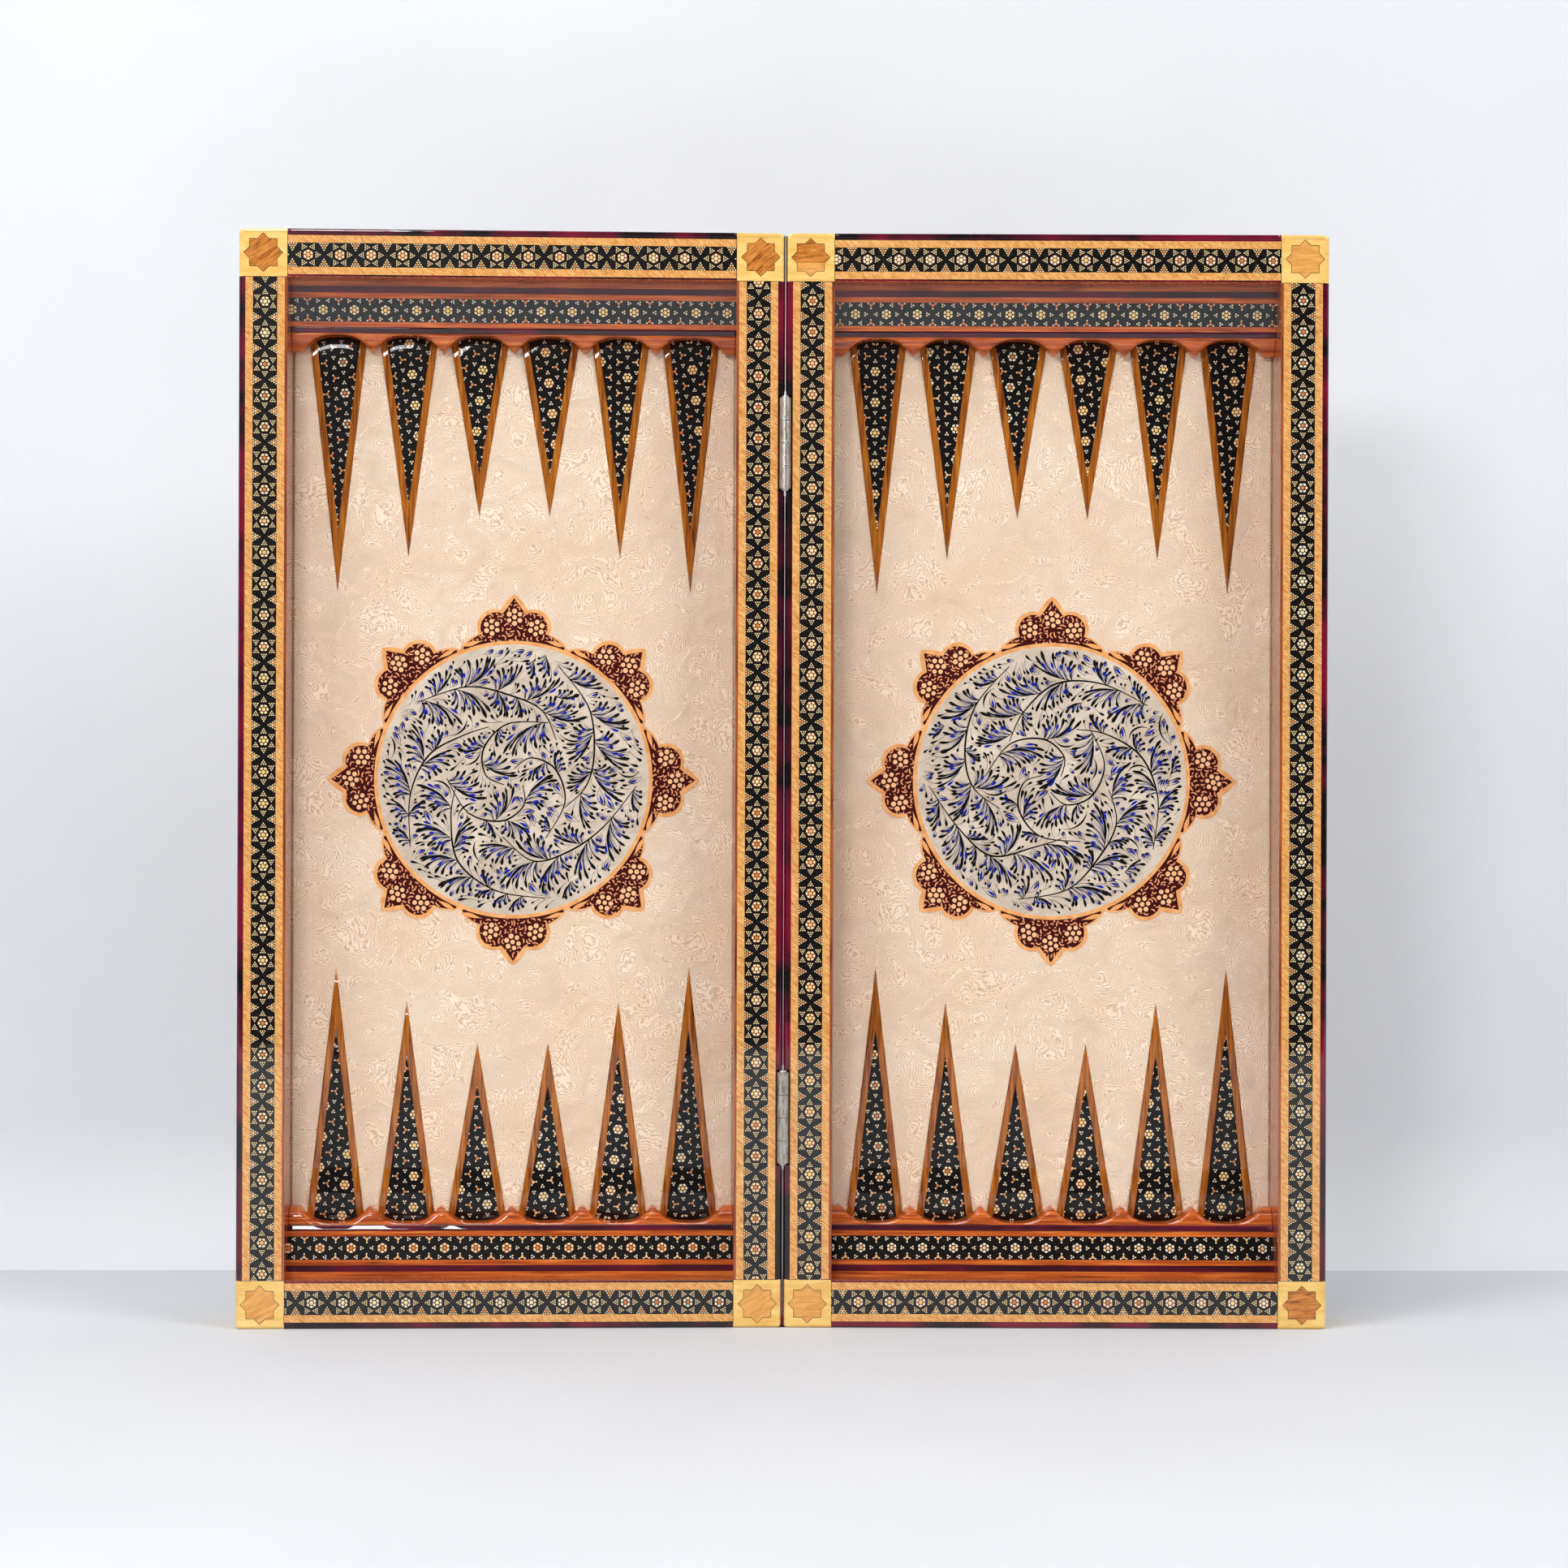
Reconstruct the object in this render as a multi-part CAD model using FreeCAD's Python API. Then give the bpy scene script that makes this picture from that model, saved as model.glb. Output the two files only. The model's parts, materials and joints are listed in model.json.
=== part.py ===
"""Folding backgammon board with inlaid frames, standing open on its lower edges.

Two shallow trays are joined by a pair of butt hinges. Each tray has four corner posts with rails and
stiles between them, a base board held in a groove, and a leather bed with twelve inlaid points and a
medallion let into it. A sloping rest with a scalloped lip fills both ends of the tray, and holds the
round pieces. Thin strips are inlaid in the faces of the frame, in its back and in the rests.

Frame: +Z up, the open side of the trays faces -Y, and the hinge axis is vertical at X = 0. The board
is not quite flat: each tray is turned a little to the front about that axis, which keeps it standing.
The origin is on the floor, in the middle of the whole board. Lengths are in millimetres.
"""

import FreeCAD, Part

import math
import os

from FreeCAD import Vector

# ---- driving dimensions -------------------------------------------------------------------------
HEIGHT = 500.0
HALF_WIDTH = 248.0
DEPTH = 38.0
GAP = 0.8  # between the two halves when the board is flat
FOLD = 2.3  # degrees between the halves, against a flat board
FRAME = 22.0  # width of the frame's face
EDGE_ROUND = 1.6
CORNER_ROUND = 2.0
TENON = 6.0
TENON_DEPTHS = (9.0, 22.0)

INLAY = 1.2  # thickness of every strip let into the wood
BEAD = 3.0  # dark edge left outside the strips
LINE = 3.4  # light line each side of the mosaic
MOSAIC = 11.0
STAR = 17.7  # corner star, tip to tip

BED_DEPTH = 28.0  # from the rim to the leather
LEATHER = 1.5
PROUD = 0.3  # points and medallion above the leather
BOARD = 6.0
GROOVE = 5.0

REST_TOP = 11.0  # depth of the sloping rest at the frame
REST_LOW = 17.0  # and where its lip begins
REST_LENGTH = 23.1
LIP_LENGTH = 8.6
LIP_FLAT = 4.6
LIP_DROP = 4.5
REST_LINES = (2.4, 2.9, 2.5, 10.8, 2.4, 2.8)  # wood, dark, wood, mosaic, wood, dark, down the slope

PITCH = 32.6  # from point to point
POINTS = 6
NOTCH_HALF = 13.3  # each notch in the lip is half an ellipse
NOTCH_DEPTH = 8.1
POINT_HALF = 12.4  # half a point's width at the tips of the lip
POINT_TIPS = (163.0, 147.0, 128.0, 128.0, 147.0, 163.0)  # height of each point's tip
BORDER = 3.2

RING_OUTER = 64.3
RING_INNER = 62.7
VALLEY = 65.0  # radius between two rays of the medallion
RAYS = 8
BACK_MEDALLION = 0.62  # size of the one on the back, against the one on the bed

HINGE_OFFSET = 154.0  # from mid-height to the middle of each hinge
BARREL = 2.6
PIN = 1.4
RUNNING = 0.05
KNUCKLE = 10.4
KNUCKLES = 4
LEAF = 1.0
LEAF_REACH = 15.0
LEAF_PART = 0.15  # from the middle plane to each leaf
AXIS_FRONT = 0.4  # hinge axis in front of the rim
AXIS_Y = -16.9  # puts the origin in the middle of the board from front to back
SCREW_HEAD = 2.2
SCREW_SHANK = 1.2
SCREW_LENGTH = 9.0
SCREW_PITCH = 13.5

# ---- worked out from those ------------------------------------------------------------------------
RIM_Y = AXIS_Y + AXIS_FRONT
MIDDLE = HEIGHT / 2
SIDE = HALF_WIDTH / 2  # half of one tray
FIELD = SIDE - FRAME  # half of the bed's width
CENTRE = SIDE + GAP / 2  # from the hinge axis to the middle of a tray
BOARD_DEPTH = BED_DEPTH + LEATHER
PANEL_DEPTH = BOARD_DEPTH + BOARD
INLAY_DEPTH = BED_DEPTH - PROUD
LIP_START = FRAME + REST_LENGTH
LIP_END = LIP_START + LIP_LENGTH
SLOPE = math.atan2(REST_LOW - REST_TOP, REST_LENGTH)
BARREL_HALF = KNUCKLES * KNUCKLE / 2

parts = {}


# ---- helpers --------------------------------------------------------------------------------------
def block(x0, x1, d0, d1, z0, z1):
    """A box in a tray's own frame: x from the tray's middle, d from the rim, z from the floor."""
    return Part.makeBox(x1 - x0, d1 - d0, z1 - z0, Vector(x0, RIM_Y + d0, z0))


def plate(points, d0, d1):
    """A flat piece of outline points (x, z), from depth d0 to d1."""
    corners = [Vector(x, RIM_Y + d0, z) for x, z in points]
    wire = Part.makePolygon(corners + corners[:1])
    return Part.Face(wire).extrude(Vector(0, d1 - d0, 0))


def disc(x, z, radius, d0, d1):
    return Part.makeCylinder(radius, d1 - d0, Vector(x, RIM_Y + d0, z), Vector(0, 1, 0))


def turned(shape):
    """The same piece at the other end of the tray."""
    other = shape.copy()
    other.rotate(Vector(0, 0, MIDDLE), Vector(0, 1, 0), 180)
    return other


def both_ends(shapes):
    return shapes + [turned(s) for s in shapes]


def swung(shape, side):
    """Turns a piece with its tray about the hinge axis: side is -1 for the left tray, 1 for the right."""
    placed = shape.copy()
    placed.rotate(Vector(0, AXIS_Y, 0), Vector(0, 0, 1), -side * FOLD / 2)
    return placed


def keep(name, shapes):
    """Stores a node of one or more solids."""
    solids = []
    for shape in shapes:
        solids += shape.Solids
    parts[name] = Part.makeCompound(solids) if len(solids) > 1 else solids[0]


def keep_in_tray(name, shapes, side):
    """Stores a node drawn in a tray's own frame, moved to its place on the board."""
    placed = []
    for shape in shapes:
        moved = shape.copy()
        moved.translate(Vector(side * CENTRE, 0, 0))
        placed.append(swung(moved, side))
    keep(name, placed)


# ---- frame ----------------------------------------------------------------------------------------
def rounded_case():
    """The outside of a tray, with its corners and its front and back edges rounded."""
    case = block(-SIDE, SIDE, 0, DEPTH, 0, HEIGHT)
    along_depth = [e for e in case.Edges if abs(e.tangentAt(e.FirstParameter).y) > 0.9]
    case = case.makeFillet(CORNER_ROUND, along_depth)
    loops = []
    for edge in case.Edges:
        box = edge.BoundBox
        if box.YLength < 0.01:
            loops.append(edge)
    return case.makeFillet(EDGE_ROUND, loops)


def frame_ring():
    """The rounded case with the tray hollowed out, and a groove for the base board."""
    hollow = block(-FIELD, FIELD, -1, DEPTH + 1, FRAME, HEIGHT - FRAME)
    reach = FIELD + GROOVE
    low = FRAME - GROOVE
    groove = block(-reach, reach, BOARD_DEPTH, PANEL_DEPTH, low, HEIGHT - low)
    return rounded_case().cut(hollow).cut(groove)


def face_strips(width_start, width, d0, d1):
    """Four strips round the frame's face, between the posts: two rails, then two stiles."""
    outer = width_start
    inner = width_start + width
    rails = [block(-FIELD, FIELD, d0, d1, outer, inner)]
    stiles = [block(-SIDE + outer, -SIDE + inner, d0, d1, FRAME, HEIGHT - FRAME)]
    return both_ends(rails) + both_ends(stiles)


def star_outline(x, z):
    """An eight-pointed star: two squares, one turned by 45 degrees."""
    tip = STAR / 2
    notch = tip * math.cos(math.radians(45)) / math.cos(math.radians(22.5))
    outline = []
    for k in range(16):
        radius = tip if k % 2 == 0 else notch
        angle = math.radians(22.5 * k)
        outline.append((x + radius * math.cos(angle), z + radius * math.sin(angle)))
    return outline


def tenons():
    """Tongues of the rails and of the stiles, which run into the corner posts."""
    d0, d1 = TENON_DEPTHS
    rails, stiles = [], []
    for side in (-1, 1):
        x0, x1 = sorted((side * FIELD, side * (FIELD + TENON)))
        rails.append(block(x0, x1, d0, d1, TENON, FRAME - TENON))
        x0, x1 = sorted((side * (FIELD + TENON + 2), side * (SIDE - TENON)))
        stiles.append(block(x0, x1, d0, d1, FRAME - TENON, FRAME))
    return rails, stiles


def corner_stars(d0, d1):
    at = SIDE - FRAME / 2
    low = FRAME / 2
    return both_ends([plate(star_outline(x, low), d0, d1) for x in (-at, at)])


# ---- rests at the ends of the tray ----------------------------------------------------------------
def swept(profile):
    """A moulding across the tray from its profile, points (height above the floor, depth)."""
    corners = [Vector(-FIELD, RIM_Y + d, z) for z, d in profile]
    wire = Part.makePolygon(corners + corners[:1])
    return Part.Face(wire).extrude(Vector(2 * FIELD, 0, 0))


def slope_strip(start, width, thickness=INLAY):
    """A strip let into the slope, start to start + width down it."""
    strip = Part.makeBox(2 * FIELD, thickness, width, Vector(-FIELD, 0, start))
    strip.rotate(Vector(0, 0, 0), Vector(1, 0, 0), -math.degrees(SLOPE))
    strip.translate(Vector(0, RIM_Y + REST_TOP, FRAME))
    return strip


def rest_strips():
    """The dark lines and the mosaic of the bottom rest."""
    starts = [sum(REST_LINES[:k]) for k in range(len(REST_LINES))]
    dark = [slope_strip(starts[1], REST_LINES[1]), slope_strip(starts[5], REST_LINES[5])]
    mosaic = slope_strip(starts[3], REST_LINES[3])
    return dark, mosaic


def point_centres():
    return [PITCH * (k - (POINTS - 1) / 2) for k in range(POINTS)]


def notch(x):
    """What is cut from a lip for one point."""
    across = Vector(x + NOTCH_HALF, RIM_Y, LIP_END)
    down = Vector(x, RIM_Y, LIP_END - NOTCH_DEPTH)
    ellipse = Part.Ellipse(across, down, Vector(x, RIM_Y, LIP_END))
    outline = Part.Wire(ellipse.toShape())
    return Part.Face(outline).extrude(Vector(0, BED_DEPTH + 1, 0))


def scalloped_lip():
    """The lip of a rest: it carries the slope on, falls to its tips and has a notch at each point."""
    knee = REST_LOW + LIP_FLAT * math.tan(SLOPE)
    profile = [
        (LIP_START, REST_LOW),
        (LIP_START + LIP_FLAT, knee),
        (LIP_END, knee + LIP_DROP),
        (LIP_END, BED_DEPTH),
        (LIP_START, BED_DEPTH),
    ]
    lip = swept(profile)
    for x in point_centres():
        lip = lip.cut(notch(x))
    for core, border in all_points():
        lip = lip.cut(core).cut(border)
    return lip


def rest_plank(strips):
    profile = [
        (FRAME, REST_TOP),
        (LIP_START, REST_LOW),
        (LIP_START, BED_DEPTH),
        (FRAME, BED_DEPTH),
    ]
    plank = swept(profile)
    for strip in strips:
        plank = plank.cut(strip)
    return plank


# ---- bed ------------------------------------------------------------------------------------------
def point_pieces(x, tip):
    """One point: its mosaic core and the V-shaped border round it."""
    base = LIP_START
    slant = math.atan2(POINT_HALF, tip - LIP_END)
    half = (tip - base) * math.tan(slant)
    core_tip = tip - BORDER / math.sin(slant)
    core_half = (core_tip - base) * math.tan(slant)
    whole = plate([(x - half, base), (x + half, base), (x, tip)], INLAY_DEPTH, BOARD_DEPTH)
    core_outline = [(x - core_half, base), (x + core_half, base), (x, core_tip)]
    core = plate(core_outline, INLAY_DEPTH, BOARD_DEPTH)
    return core, whole.cut(core)


def all_points():
    """The points of one end, each as its core and its border."""
    return [point_pieces(x, tip) for x, tip in zip(point_centres(), POINT_TIPS)]


def ray_edges(angle, size, depth):
    """The outline of one ray of the medallion, from its left valley to its right one."""
    half = math.radians(180 / RAYS)
    valley = (VALLEY * math.sin(half), VALLEY * math.cos(half))
    ear_start = (16.4, 67.2)
    cusp = (6.2, 78.6)
    tip = (0.0, 86.0)
    tail_mid = (21.4, 64.6)
    ear_mid = (14.9, 76.4)
    flank_mid = (3.6, 82.7)

    def at(side, point):
        x, r = side * point[0] * size, point[1] * size
        turn = math.radians(angle)
        across = x * math.cos(turn) + r * math.sin(turn)
        up = -x * math.sin(turn) + r * math.cos(turn)
        return Vector(across, RIM_Y + depth, MIDDLE + up)

    def arc(side, first, middle, last):
        return Part.Arc(at(side, first), at(side, middle), at(side, last)).toShape()

    left = [arc(-1, valley, tail_mid, ear_start), arc(-1, ear_start, ear_mid, cusp)]
    left.append(arc(-1, cusp, flank_mid, tip))
    right = [arc(1, tip, flank_mid, cusp), arc(1, cusp, ear_mid, ear_start)]
    right.append(arc(1, ear_start, tail_mid, valley))
    return left + right


def medallion(size, d0, d1):
    """The lobed star as a solid, with no hole in it."""
    edges = []
    for k in range(RAYS):
        edges += ray_edges(k * 360 / RAYS, size, d0)
    wire = Part.Wire(Part.__sortEdges__(edges))
    return Part.Face(wire).extrude(Vector(0, d1 - d0, 0))


# ---- hinges ---------------------------------------------------------------------------------------
def knuckle_spans(middle, side):
    """The knuckles of one leaf: every other one, from its own end of the barrel."""
    spans = []
    for k in range(KNUCKLES):
        if (k % 2 == 0) == (side > 0):
            low = middle - BARREL_HALF + k * KNUCKLE
            spans.append((low + 0.1, low + KNUCKLE - 0.1))
    return spans


def axis_cylinder(radius, low, high):
    return Part.makeCylinder(radius, high - low, Vector(0, AXIS_Y, low), Vector(0, 0, 1))


def hinge_screw(side, z):
    """A countersunk screw through a leaf into the stile, with a slot across its head."""
    out = Vector(side, 0, 0)
    face = side * LEAF_PART
    y = AXIS_Y + LEAF_REACH * 0.62
    head = Part.makeCone(SCREW_HEAD, SCREW_SHANK, LEAF, Vector(face, y, z), out)
    shank = Part.makeCylinder(
        SCREW_SHANK, SCREW_LENGTH, Vector(face + side * LEAF, y, z), out
    )
    point = Part.makeCone(
        SCREW_SHANK, 0.2, 2.0, Vector(face + side * (LEAF + SCREW_LENGTH), y, z), out
    )
    screw = head.fuse([shank, point]).removeSplitter()
    slot = Part.makeBox(0.7, 0.5, 5.0, Vector(face - 0.35, y - 0.25, z - 2.5))
    return screw, screw.cut(slot)


def hinge_leaf(side, middle):
    """One leaf: a plate beside the other leaf, rolled round the pin at its own knuckles.

    The pin is tight in the right leaf and turns in the left one.
    """
    near = side * LEAF_PART
    far = side * (LEAF_PART + LEAF)
    x0, x1 = min(near, far), max(near, far)
    low, high = middle - BARREL_HALF, middle + BARREL_HALF
    clear = BARREL + 0.3
    leaf = Part.makeBox(x1 - x0, LEAF_REACH - clear, high - low, Vector(x0, AXIS_Y + clear, low))
    for start, end in knuckle_spans(middle, side):
        tab = Part.makeBox(x1 - x0, clear + 0.5, end - start, Vector(x0, AXIS_Y, start))
        leaf = leaf.fuse([axis_cylinder(BARREL, start, end), tab])
    bore = PIN if side > 0 else PIN + RUNNING
    leaf = leaf.cut(axis_cylinder(bore, low - 1, high + 1))
    return leaf.removeSplitter()


def hinge_pin(middle):
    """The pin, with a low domed head at its lower and upper end."""
    low, high = middle - BARREL_HALF, middle + BARREL_HALF
    pin = axis_cylinder(PIN, low - 0.6, high + 0.6)
    heads = []
    for z, way in ((low, -1), (high, 1)):
        head = Part.makeCone(BARREL - 0.6, PIN, 0.9, Vector(0, AXIS_Y, z), Vector(0, 0, way))
        heads.append(head)
    return pin.fuse(heads).removeSplitter()


def stile_cuts(side, middle):
    """What a hinge takes out of the stile: room for the barrel and a seat for the leaf."""
    low, high = middle - BARREL_HALF, middle + BARREL_HALF
    room = axis_cylinder(BARREL + 0.35, low - 1.1, high + 1.1)
    deep = LEAF_PART + LEAF
    x0 = 0.0 if side > 0 else -deep
    seat = Part.makeBox(deep, LEAF_REACH, high - low, Vector(x0, AXIS_Y, low))
    return [room, seat]


# ---- assembly -------------------------------------------------------------------------------------
def add_frame(name, side):
    """Posts, rails and stiles of one tray, with everything that is inlaid in their faces."""
    front_lines = face_strips(BEAD, LINE, 0, INLAY)
    front_lines += face_strips(BEAD + LINE + MOSAIC, LINE, 0, INLAY)
    front_mosaic = face_strips(BEAD + LINE, MOSAIC, 0, INLAY)
    back = DEPTH - INLAY
    back_lines = face_strips(BEAD, LINE, back, DEPTH)
    back_lines += face_strips(BEAD + LINE + MOSAIC, LINE, back, DEPTH)
    back_mosaic = face_strips(BEAD + LINE, MOSAIC, back, DEPTH)
    stars = corner_stars(0, INLAY) + corner_stars(back, DEPTH)

    ring = frame_ring()
    for strips in (face_strips(BEAD, MOSAIC + 2 * LINE, -1, INLAY),
                   face_strips(BEAD, MOSAIC + 2 * LINE, back, DEPTH + 1)):
        ring = ring.cut(Part.makeCompound(strips))
    ring = ring.cut(Part.makeCompound(stars))

    rail_tenons, stile_tenons = tenons()
    sockets = Part.makeCompound(both_ends(rail_tenons + stile_tenons))
    far = SIDE + 1
    low_post = block(FIELD, far, -1, DEPTH + 1, -1, FRAME)
    high_post = block(FIELD, far, -1, DEPTH + 1, HEIGHT - FRAME, HEIGHT + 1)
    posts = [ring.common(p).cut(sockets) for p in both_ends([low_post, high_post])]
    rail = ring.common(block(-FIELD, FIELD, -1, DEPTH + 1, -1, FRAME)).fuse(rail_tenons)
    right_tenons = [stile_tenons[1], turned(stile_tenons[0])]
    stile = ring.common(block(FIELD, far, -1, DEPTH + 1, FRAME, HEIGHT - FRAME)).fuse(right_tenons)
    outer, inner = (stile, turned(stile)) if side > 0 else (turned(stile), stile)

    keep_in_tray(f"{name}_corner_posts", posts, side)
    keep_in_tray(f"{name}_bottom_rail", [rail], side)
    keep_in_tray(f"{name}_top_rail", [turned(rail)], side)
    keep_in_tray(f"{name}_outer_stile", [outer], side)
    keep_in_tray(f"{name}_hinge_stile", [inner], side)
    keep_in_tray(f"{name}_face_lines", front_lines, side)
    keep_in_tray(f"{name}_face_mosaic", front_mosaic, side)
    keep_in_tray(f"{name}_back_lines", back_lines, side)
    keep_in_tray(f"{name}_back_mosaic", back_mosaic, side)
    keep_in_tray(f"{name}_corner_stars", stars, side)


def add_boards(name, side):
    """Base board, the panel on its back and the medallion inlaid in that."""
    reach = FIELD + GROOVE
    low = FRAME - GROOVE
    board = block(-reach, reach, BOARD_DEPTH, PANEL_DEPTH, low, HEIGHT - low)
    panel = block(-FIELD, FIELD, PANEL_DEPTH, DEPTH, FRAME, HEIGHT - FRAME)
    inlaid = medallion(BACK_MEDALLION, DEPTH - INLAY, DEPTH)
    keep_in_tray(f"{name}_base_board", [board], side)
    keep_in_tray(f"{name}_back_panel", [panel.cut(inlaid)], side)
    keep_in_tray(f"{name}_back_medallion", [inlaid], side)


def add_rests(name, side):
    """The two sloping rests, their inlaid strips and their scalloped lips."""
    dark, mosaic = rest_strips()
    plank = rest_plank(dark + [mosaic])
    lip = scalloped_lip()
    keep_in_tray(f"{name}_bottom_rest", [plank], side)
    keep_in_tray(f"{name}_top_rest", [turned(plank)], side)
    keep_in_tray(f"{name}_bottom_lip", [lip], side)
    keep_in_tray(f"{name}_top_lip", [turned(lip)], side)
    keep_in_tray(f"{name}_rest_mosaic", both_ends([mosaic]), side)
    keep_in_tray(f"{name}_rest_lines", both_ends(dark), side)


def add_bed(name, side):
    """Leather, points and medallion on the base board."""
    points = all_points()
    cores = both_ends([core for core, border in points])
    borders = both_ends([border for core, border in points])
    star = medallion(1.0, INLAY_DEPTH, BOARD_DEPTH)
    round_hole = disc(0, MIDDLE, RING_OUTER, INLAY_DEPTH, BOARD_DEPTH)
    painted = disc(0, MIDDLE, RING_INNER, INLAY_DEPTH, BOARD_DEPTH)
    leather = block(-FIELD, FIELD, BED_DEPTH, BOARD_DEPTH, FRAME, HEIGHT - FRAME)
    for taken in (cores, borders, [star]):
        leather = leather.cut(Part.makeCompound(taken))
    keep_in_tray(f"{name}_bed_leather", [leather], side)
    keep_in_tray(f"{name}_point_cores", cores, side)
    keep_in_tray(f"{name}_point_borders", borders, side)
    keep_in_tray(f"{name}_medallion_rays", [star.cut(round_hole)], side)
    keep_in_tray(f"{name}_medallion_ring", [round_hole.cut(painted)], side)
    keep_in_tray(f"{name}_medallion_disc", [painted], side)


def add_hinges():
    """Both hinges with their screws, and the seats that they take in the stiles."""
    names = {1: "right", -1: "left"}
    screws = {1: [], -1: []}
    for place, middle in (("upper", MIDDLE + HINGE_OFFSET), ("lower", MIDDLE - HINGE_OFFSET)):
        for side, half in names.items():
            leaf = hinge_leaf(side, middle)
            taken = stile_cuts(side, middle)
            for k in (-1, 0, 1):
                whole, slotted = hinge_screw(side, middle + k * SCREW_PITCH)
                leaf = leaf.cut(whole)
                taken.append(whole)
                screws[side].append(swung(slotted, side))
            stile = parts[f"{half}_hinge_stile"]
            for cut in taken:
                stile = stile.cut(swung(cut, side))
            keep(f"{half}_hinge_stile", [stile])
            keep(f"{place}_hinge_{half}_leaf", [swung(leaf, side)])
        keep(f"{place}_hinge_pin", [hinge_pin(middle)])
    for side, half in names.items():
        keep(f"{half}_hinge_screws", screws[side])


def main():
    for name, side in (("left", -1), ("right", 1)):
        add_frame(name, side)
        add_boards(name, side)
        add_rests(name, side)
        add_bed(name, side)
    add_hinges()
    os.makedirs("parts", exist_ok=True)
    for name, shape in parts.items():
        shape.exportStep(f"parts/{name}.step")
        box = shape.BoundBox
        print(
            f"{name}: solids {len(shape.Solids)}, valid {shape.isValid()}, volume {shape.Volume:.0f},"
            f" x {box.XMin:.1f} {box.XMax:.1f}, y {box.YMin:.1f} {box.YMax:.1f},"
            f" z {box.ZMin:.1f} {box.ZMax:.1f}"
        )


main()
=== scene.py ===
"""Looks of the folding backgammon board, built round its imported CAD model.

Lengths are in millimetres until a point is placed in the world. A tray's own frame is (x, depth, z): x
from the tray's middle, depth back from its rim and z up from the floor. Side is -1 for the left tray and
1 for the right one.
"""

import json
import math
import random

import bmesh
import bpy
import numpy as np
from mathutils import Matrix, Vector


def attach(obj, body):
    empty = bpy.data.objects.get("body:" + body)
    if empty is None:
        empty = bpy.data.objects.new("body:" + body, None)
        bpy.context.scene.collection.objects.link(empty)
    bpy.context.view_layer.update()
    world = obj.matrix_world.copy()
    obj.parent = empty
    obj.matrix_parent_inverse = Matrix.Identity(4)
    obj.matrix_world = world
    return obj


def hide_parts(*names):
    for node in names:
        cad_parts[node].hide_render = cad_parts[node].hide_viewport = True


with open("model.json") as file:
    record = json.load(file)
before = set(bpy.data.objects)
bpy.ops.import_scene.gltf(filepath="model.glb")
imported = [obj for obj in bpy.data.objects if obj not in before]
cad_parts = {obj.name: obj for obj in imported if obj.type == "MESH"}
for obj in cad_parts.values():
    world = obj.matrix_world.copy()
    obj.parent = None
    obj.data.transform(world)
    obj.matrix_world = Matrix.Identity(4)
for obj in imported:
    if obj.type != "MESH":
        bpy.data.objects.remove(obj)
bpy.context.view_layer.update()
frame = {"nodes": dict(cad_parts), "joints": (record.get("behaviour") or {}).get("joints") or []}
nodes = frame["nodes"]

# ---- sizes repeated from the CAD model --------------------------------------------------------------
HEIGHT = 500.0
HALF_WIDTH = 248.0
DEPTH = 38.0
GAP = 0.8
FOLD = 2.3
AXIS_FRONT = 0.4
FRAME = 22.0
SIDE = HALF_WIDTH / 2
FIELD = SIDE - FRAME
CENTRE = SIDE + GAP / 2
BEAD = 3.0
LINE = 3.4
MOSAIC = 11.0
STAR = 17.7
BED = 28.0
PROUD = 0.3
REST_TOP = 11.0
REST_LOW = 17.0
REST_LENGTH = 23.1
REST_LINES = (2.4, 2.9, 2.5, 10.8, 2.4, 2.8)
LIP_LENGTH = 8.6
LIP_FLAT = 4.6
LIP_DROP = 4.5
NOTCH_DEPTH = 8.1
PITCH = 32.6
POINTS = 6
POINT_HALF = 12.4
POINT_TIPS = (163.0, 147.0, 128.0, 128.0, 147.0, 163.0)
BORDER = 3.2
RING_OUTER = 64.3
RING_INNER = 62.7
HINGE_OFFSET = 154.0
HINGE_CLEAR = 24.0  # half of what a hinge takes up along the seam
BACK_MEDALLION = 0.62

MIDDLE = HEIGHT / 2
LIP_START = FRAME + REST_LENGTH
LIP_END = LIP_START + LIP_LENGTH
SLOPE = math.atan2(REST_LOW - REST_TOP, REST_LENGTH)

# ---- sizes of what only the visual model has --------------------------------------------------------
PERIOD = 14.25  # from rosette to rosette in the mosaic
LIFT = 0.06  # inlaid tiles above their ground
SINK = -0.1  # and how far the underside of a thin piece goes below it
ROSETTE = 2.4  # radius of a rosette
PETALS_AT = 1.7  # from a rosette's middle to its petals
ROSETTE_SPOT = 0.9
TRIANGLES_AT = 4.15  # from a rosette to the tiled triangles round it
TRIANGLE = 1.72  # radius of a tiled triangle
EDGE_AT = 4.1  # from the middle of a strip to the triangles along its edges
EDGE_TRIANGLE = 2.75
TRIADS_AT = 4.75  # from a rosette to the triads of dots round it
TRIAD_REACH = 0.62
SWELL = 0.8  # how far the foot of a point is rounded up
SWELL_WIDTH = 6.0
SWELL_REACH = 20.0  # and how far up the point it fades out
NOTCH_SHAPE = 3.0  # a larger power makes flatter notches and sharper peaks
PEAK_ROUND = 0.9
GROUND_LIFT = 0.04  # painted grounds, lines and black strokes, above the surface
THIN_LIFT = 0.05
LINE_LIFT = 0.07
INK_LIFT = 0.08
DISC_REACH = RING_INNER - 1.0  # strokes stay within this radius
SCROLL_RISE = 0.24  # embossed scrolls above the leather
SKIN_LIFT = 0.02  # visible skins of the points above the CAD

HINGE = Vector(frame["joints"][0]["pos_m"])
TRAYS = {-1: "left", 1: "right"}


# ---- placing ----------------------------------------------------------------------------------------
def to_world(side, x, depth, z):
    turn = -side * math.radians(FOLD / 2)
    across, back = side * CENTRE + x, AXIS_FRONT + depth
    wx = across * math.cos(turn) - back * math.sin(turn)
    wy = across * math.sin(turn) + back * math.cos(turn)
    return (HINGE.x + wx / 1000, HINGE.y + wy / 1000, z / 1000)


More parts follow.
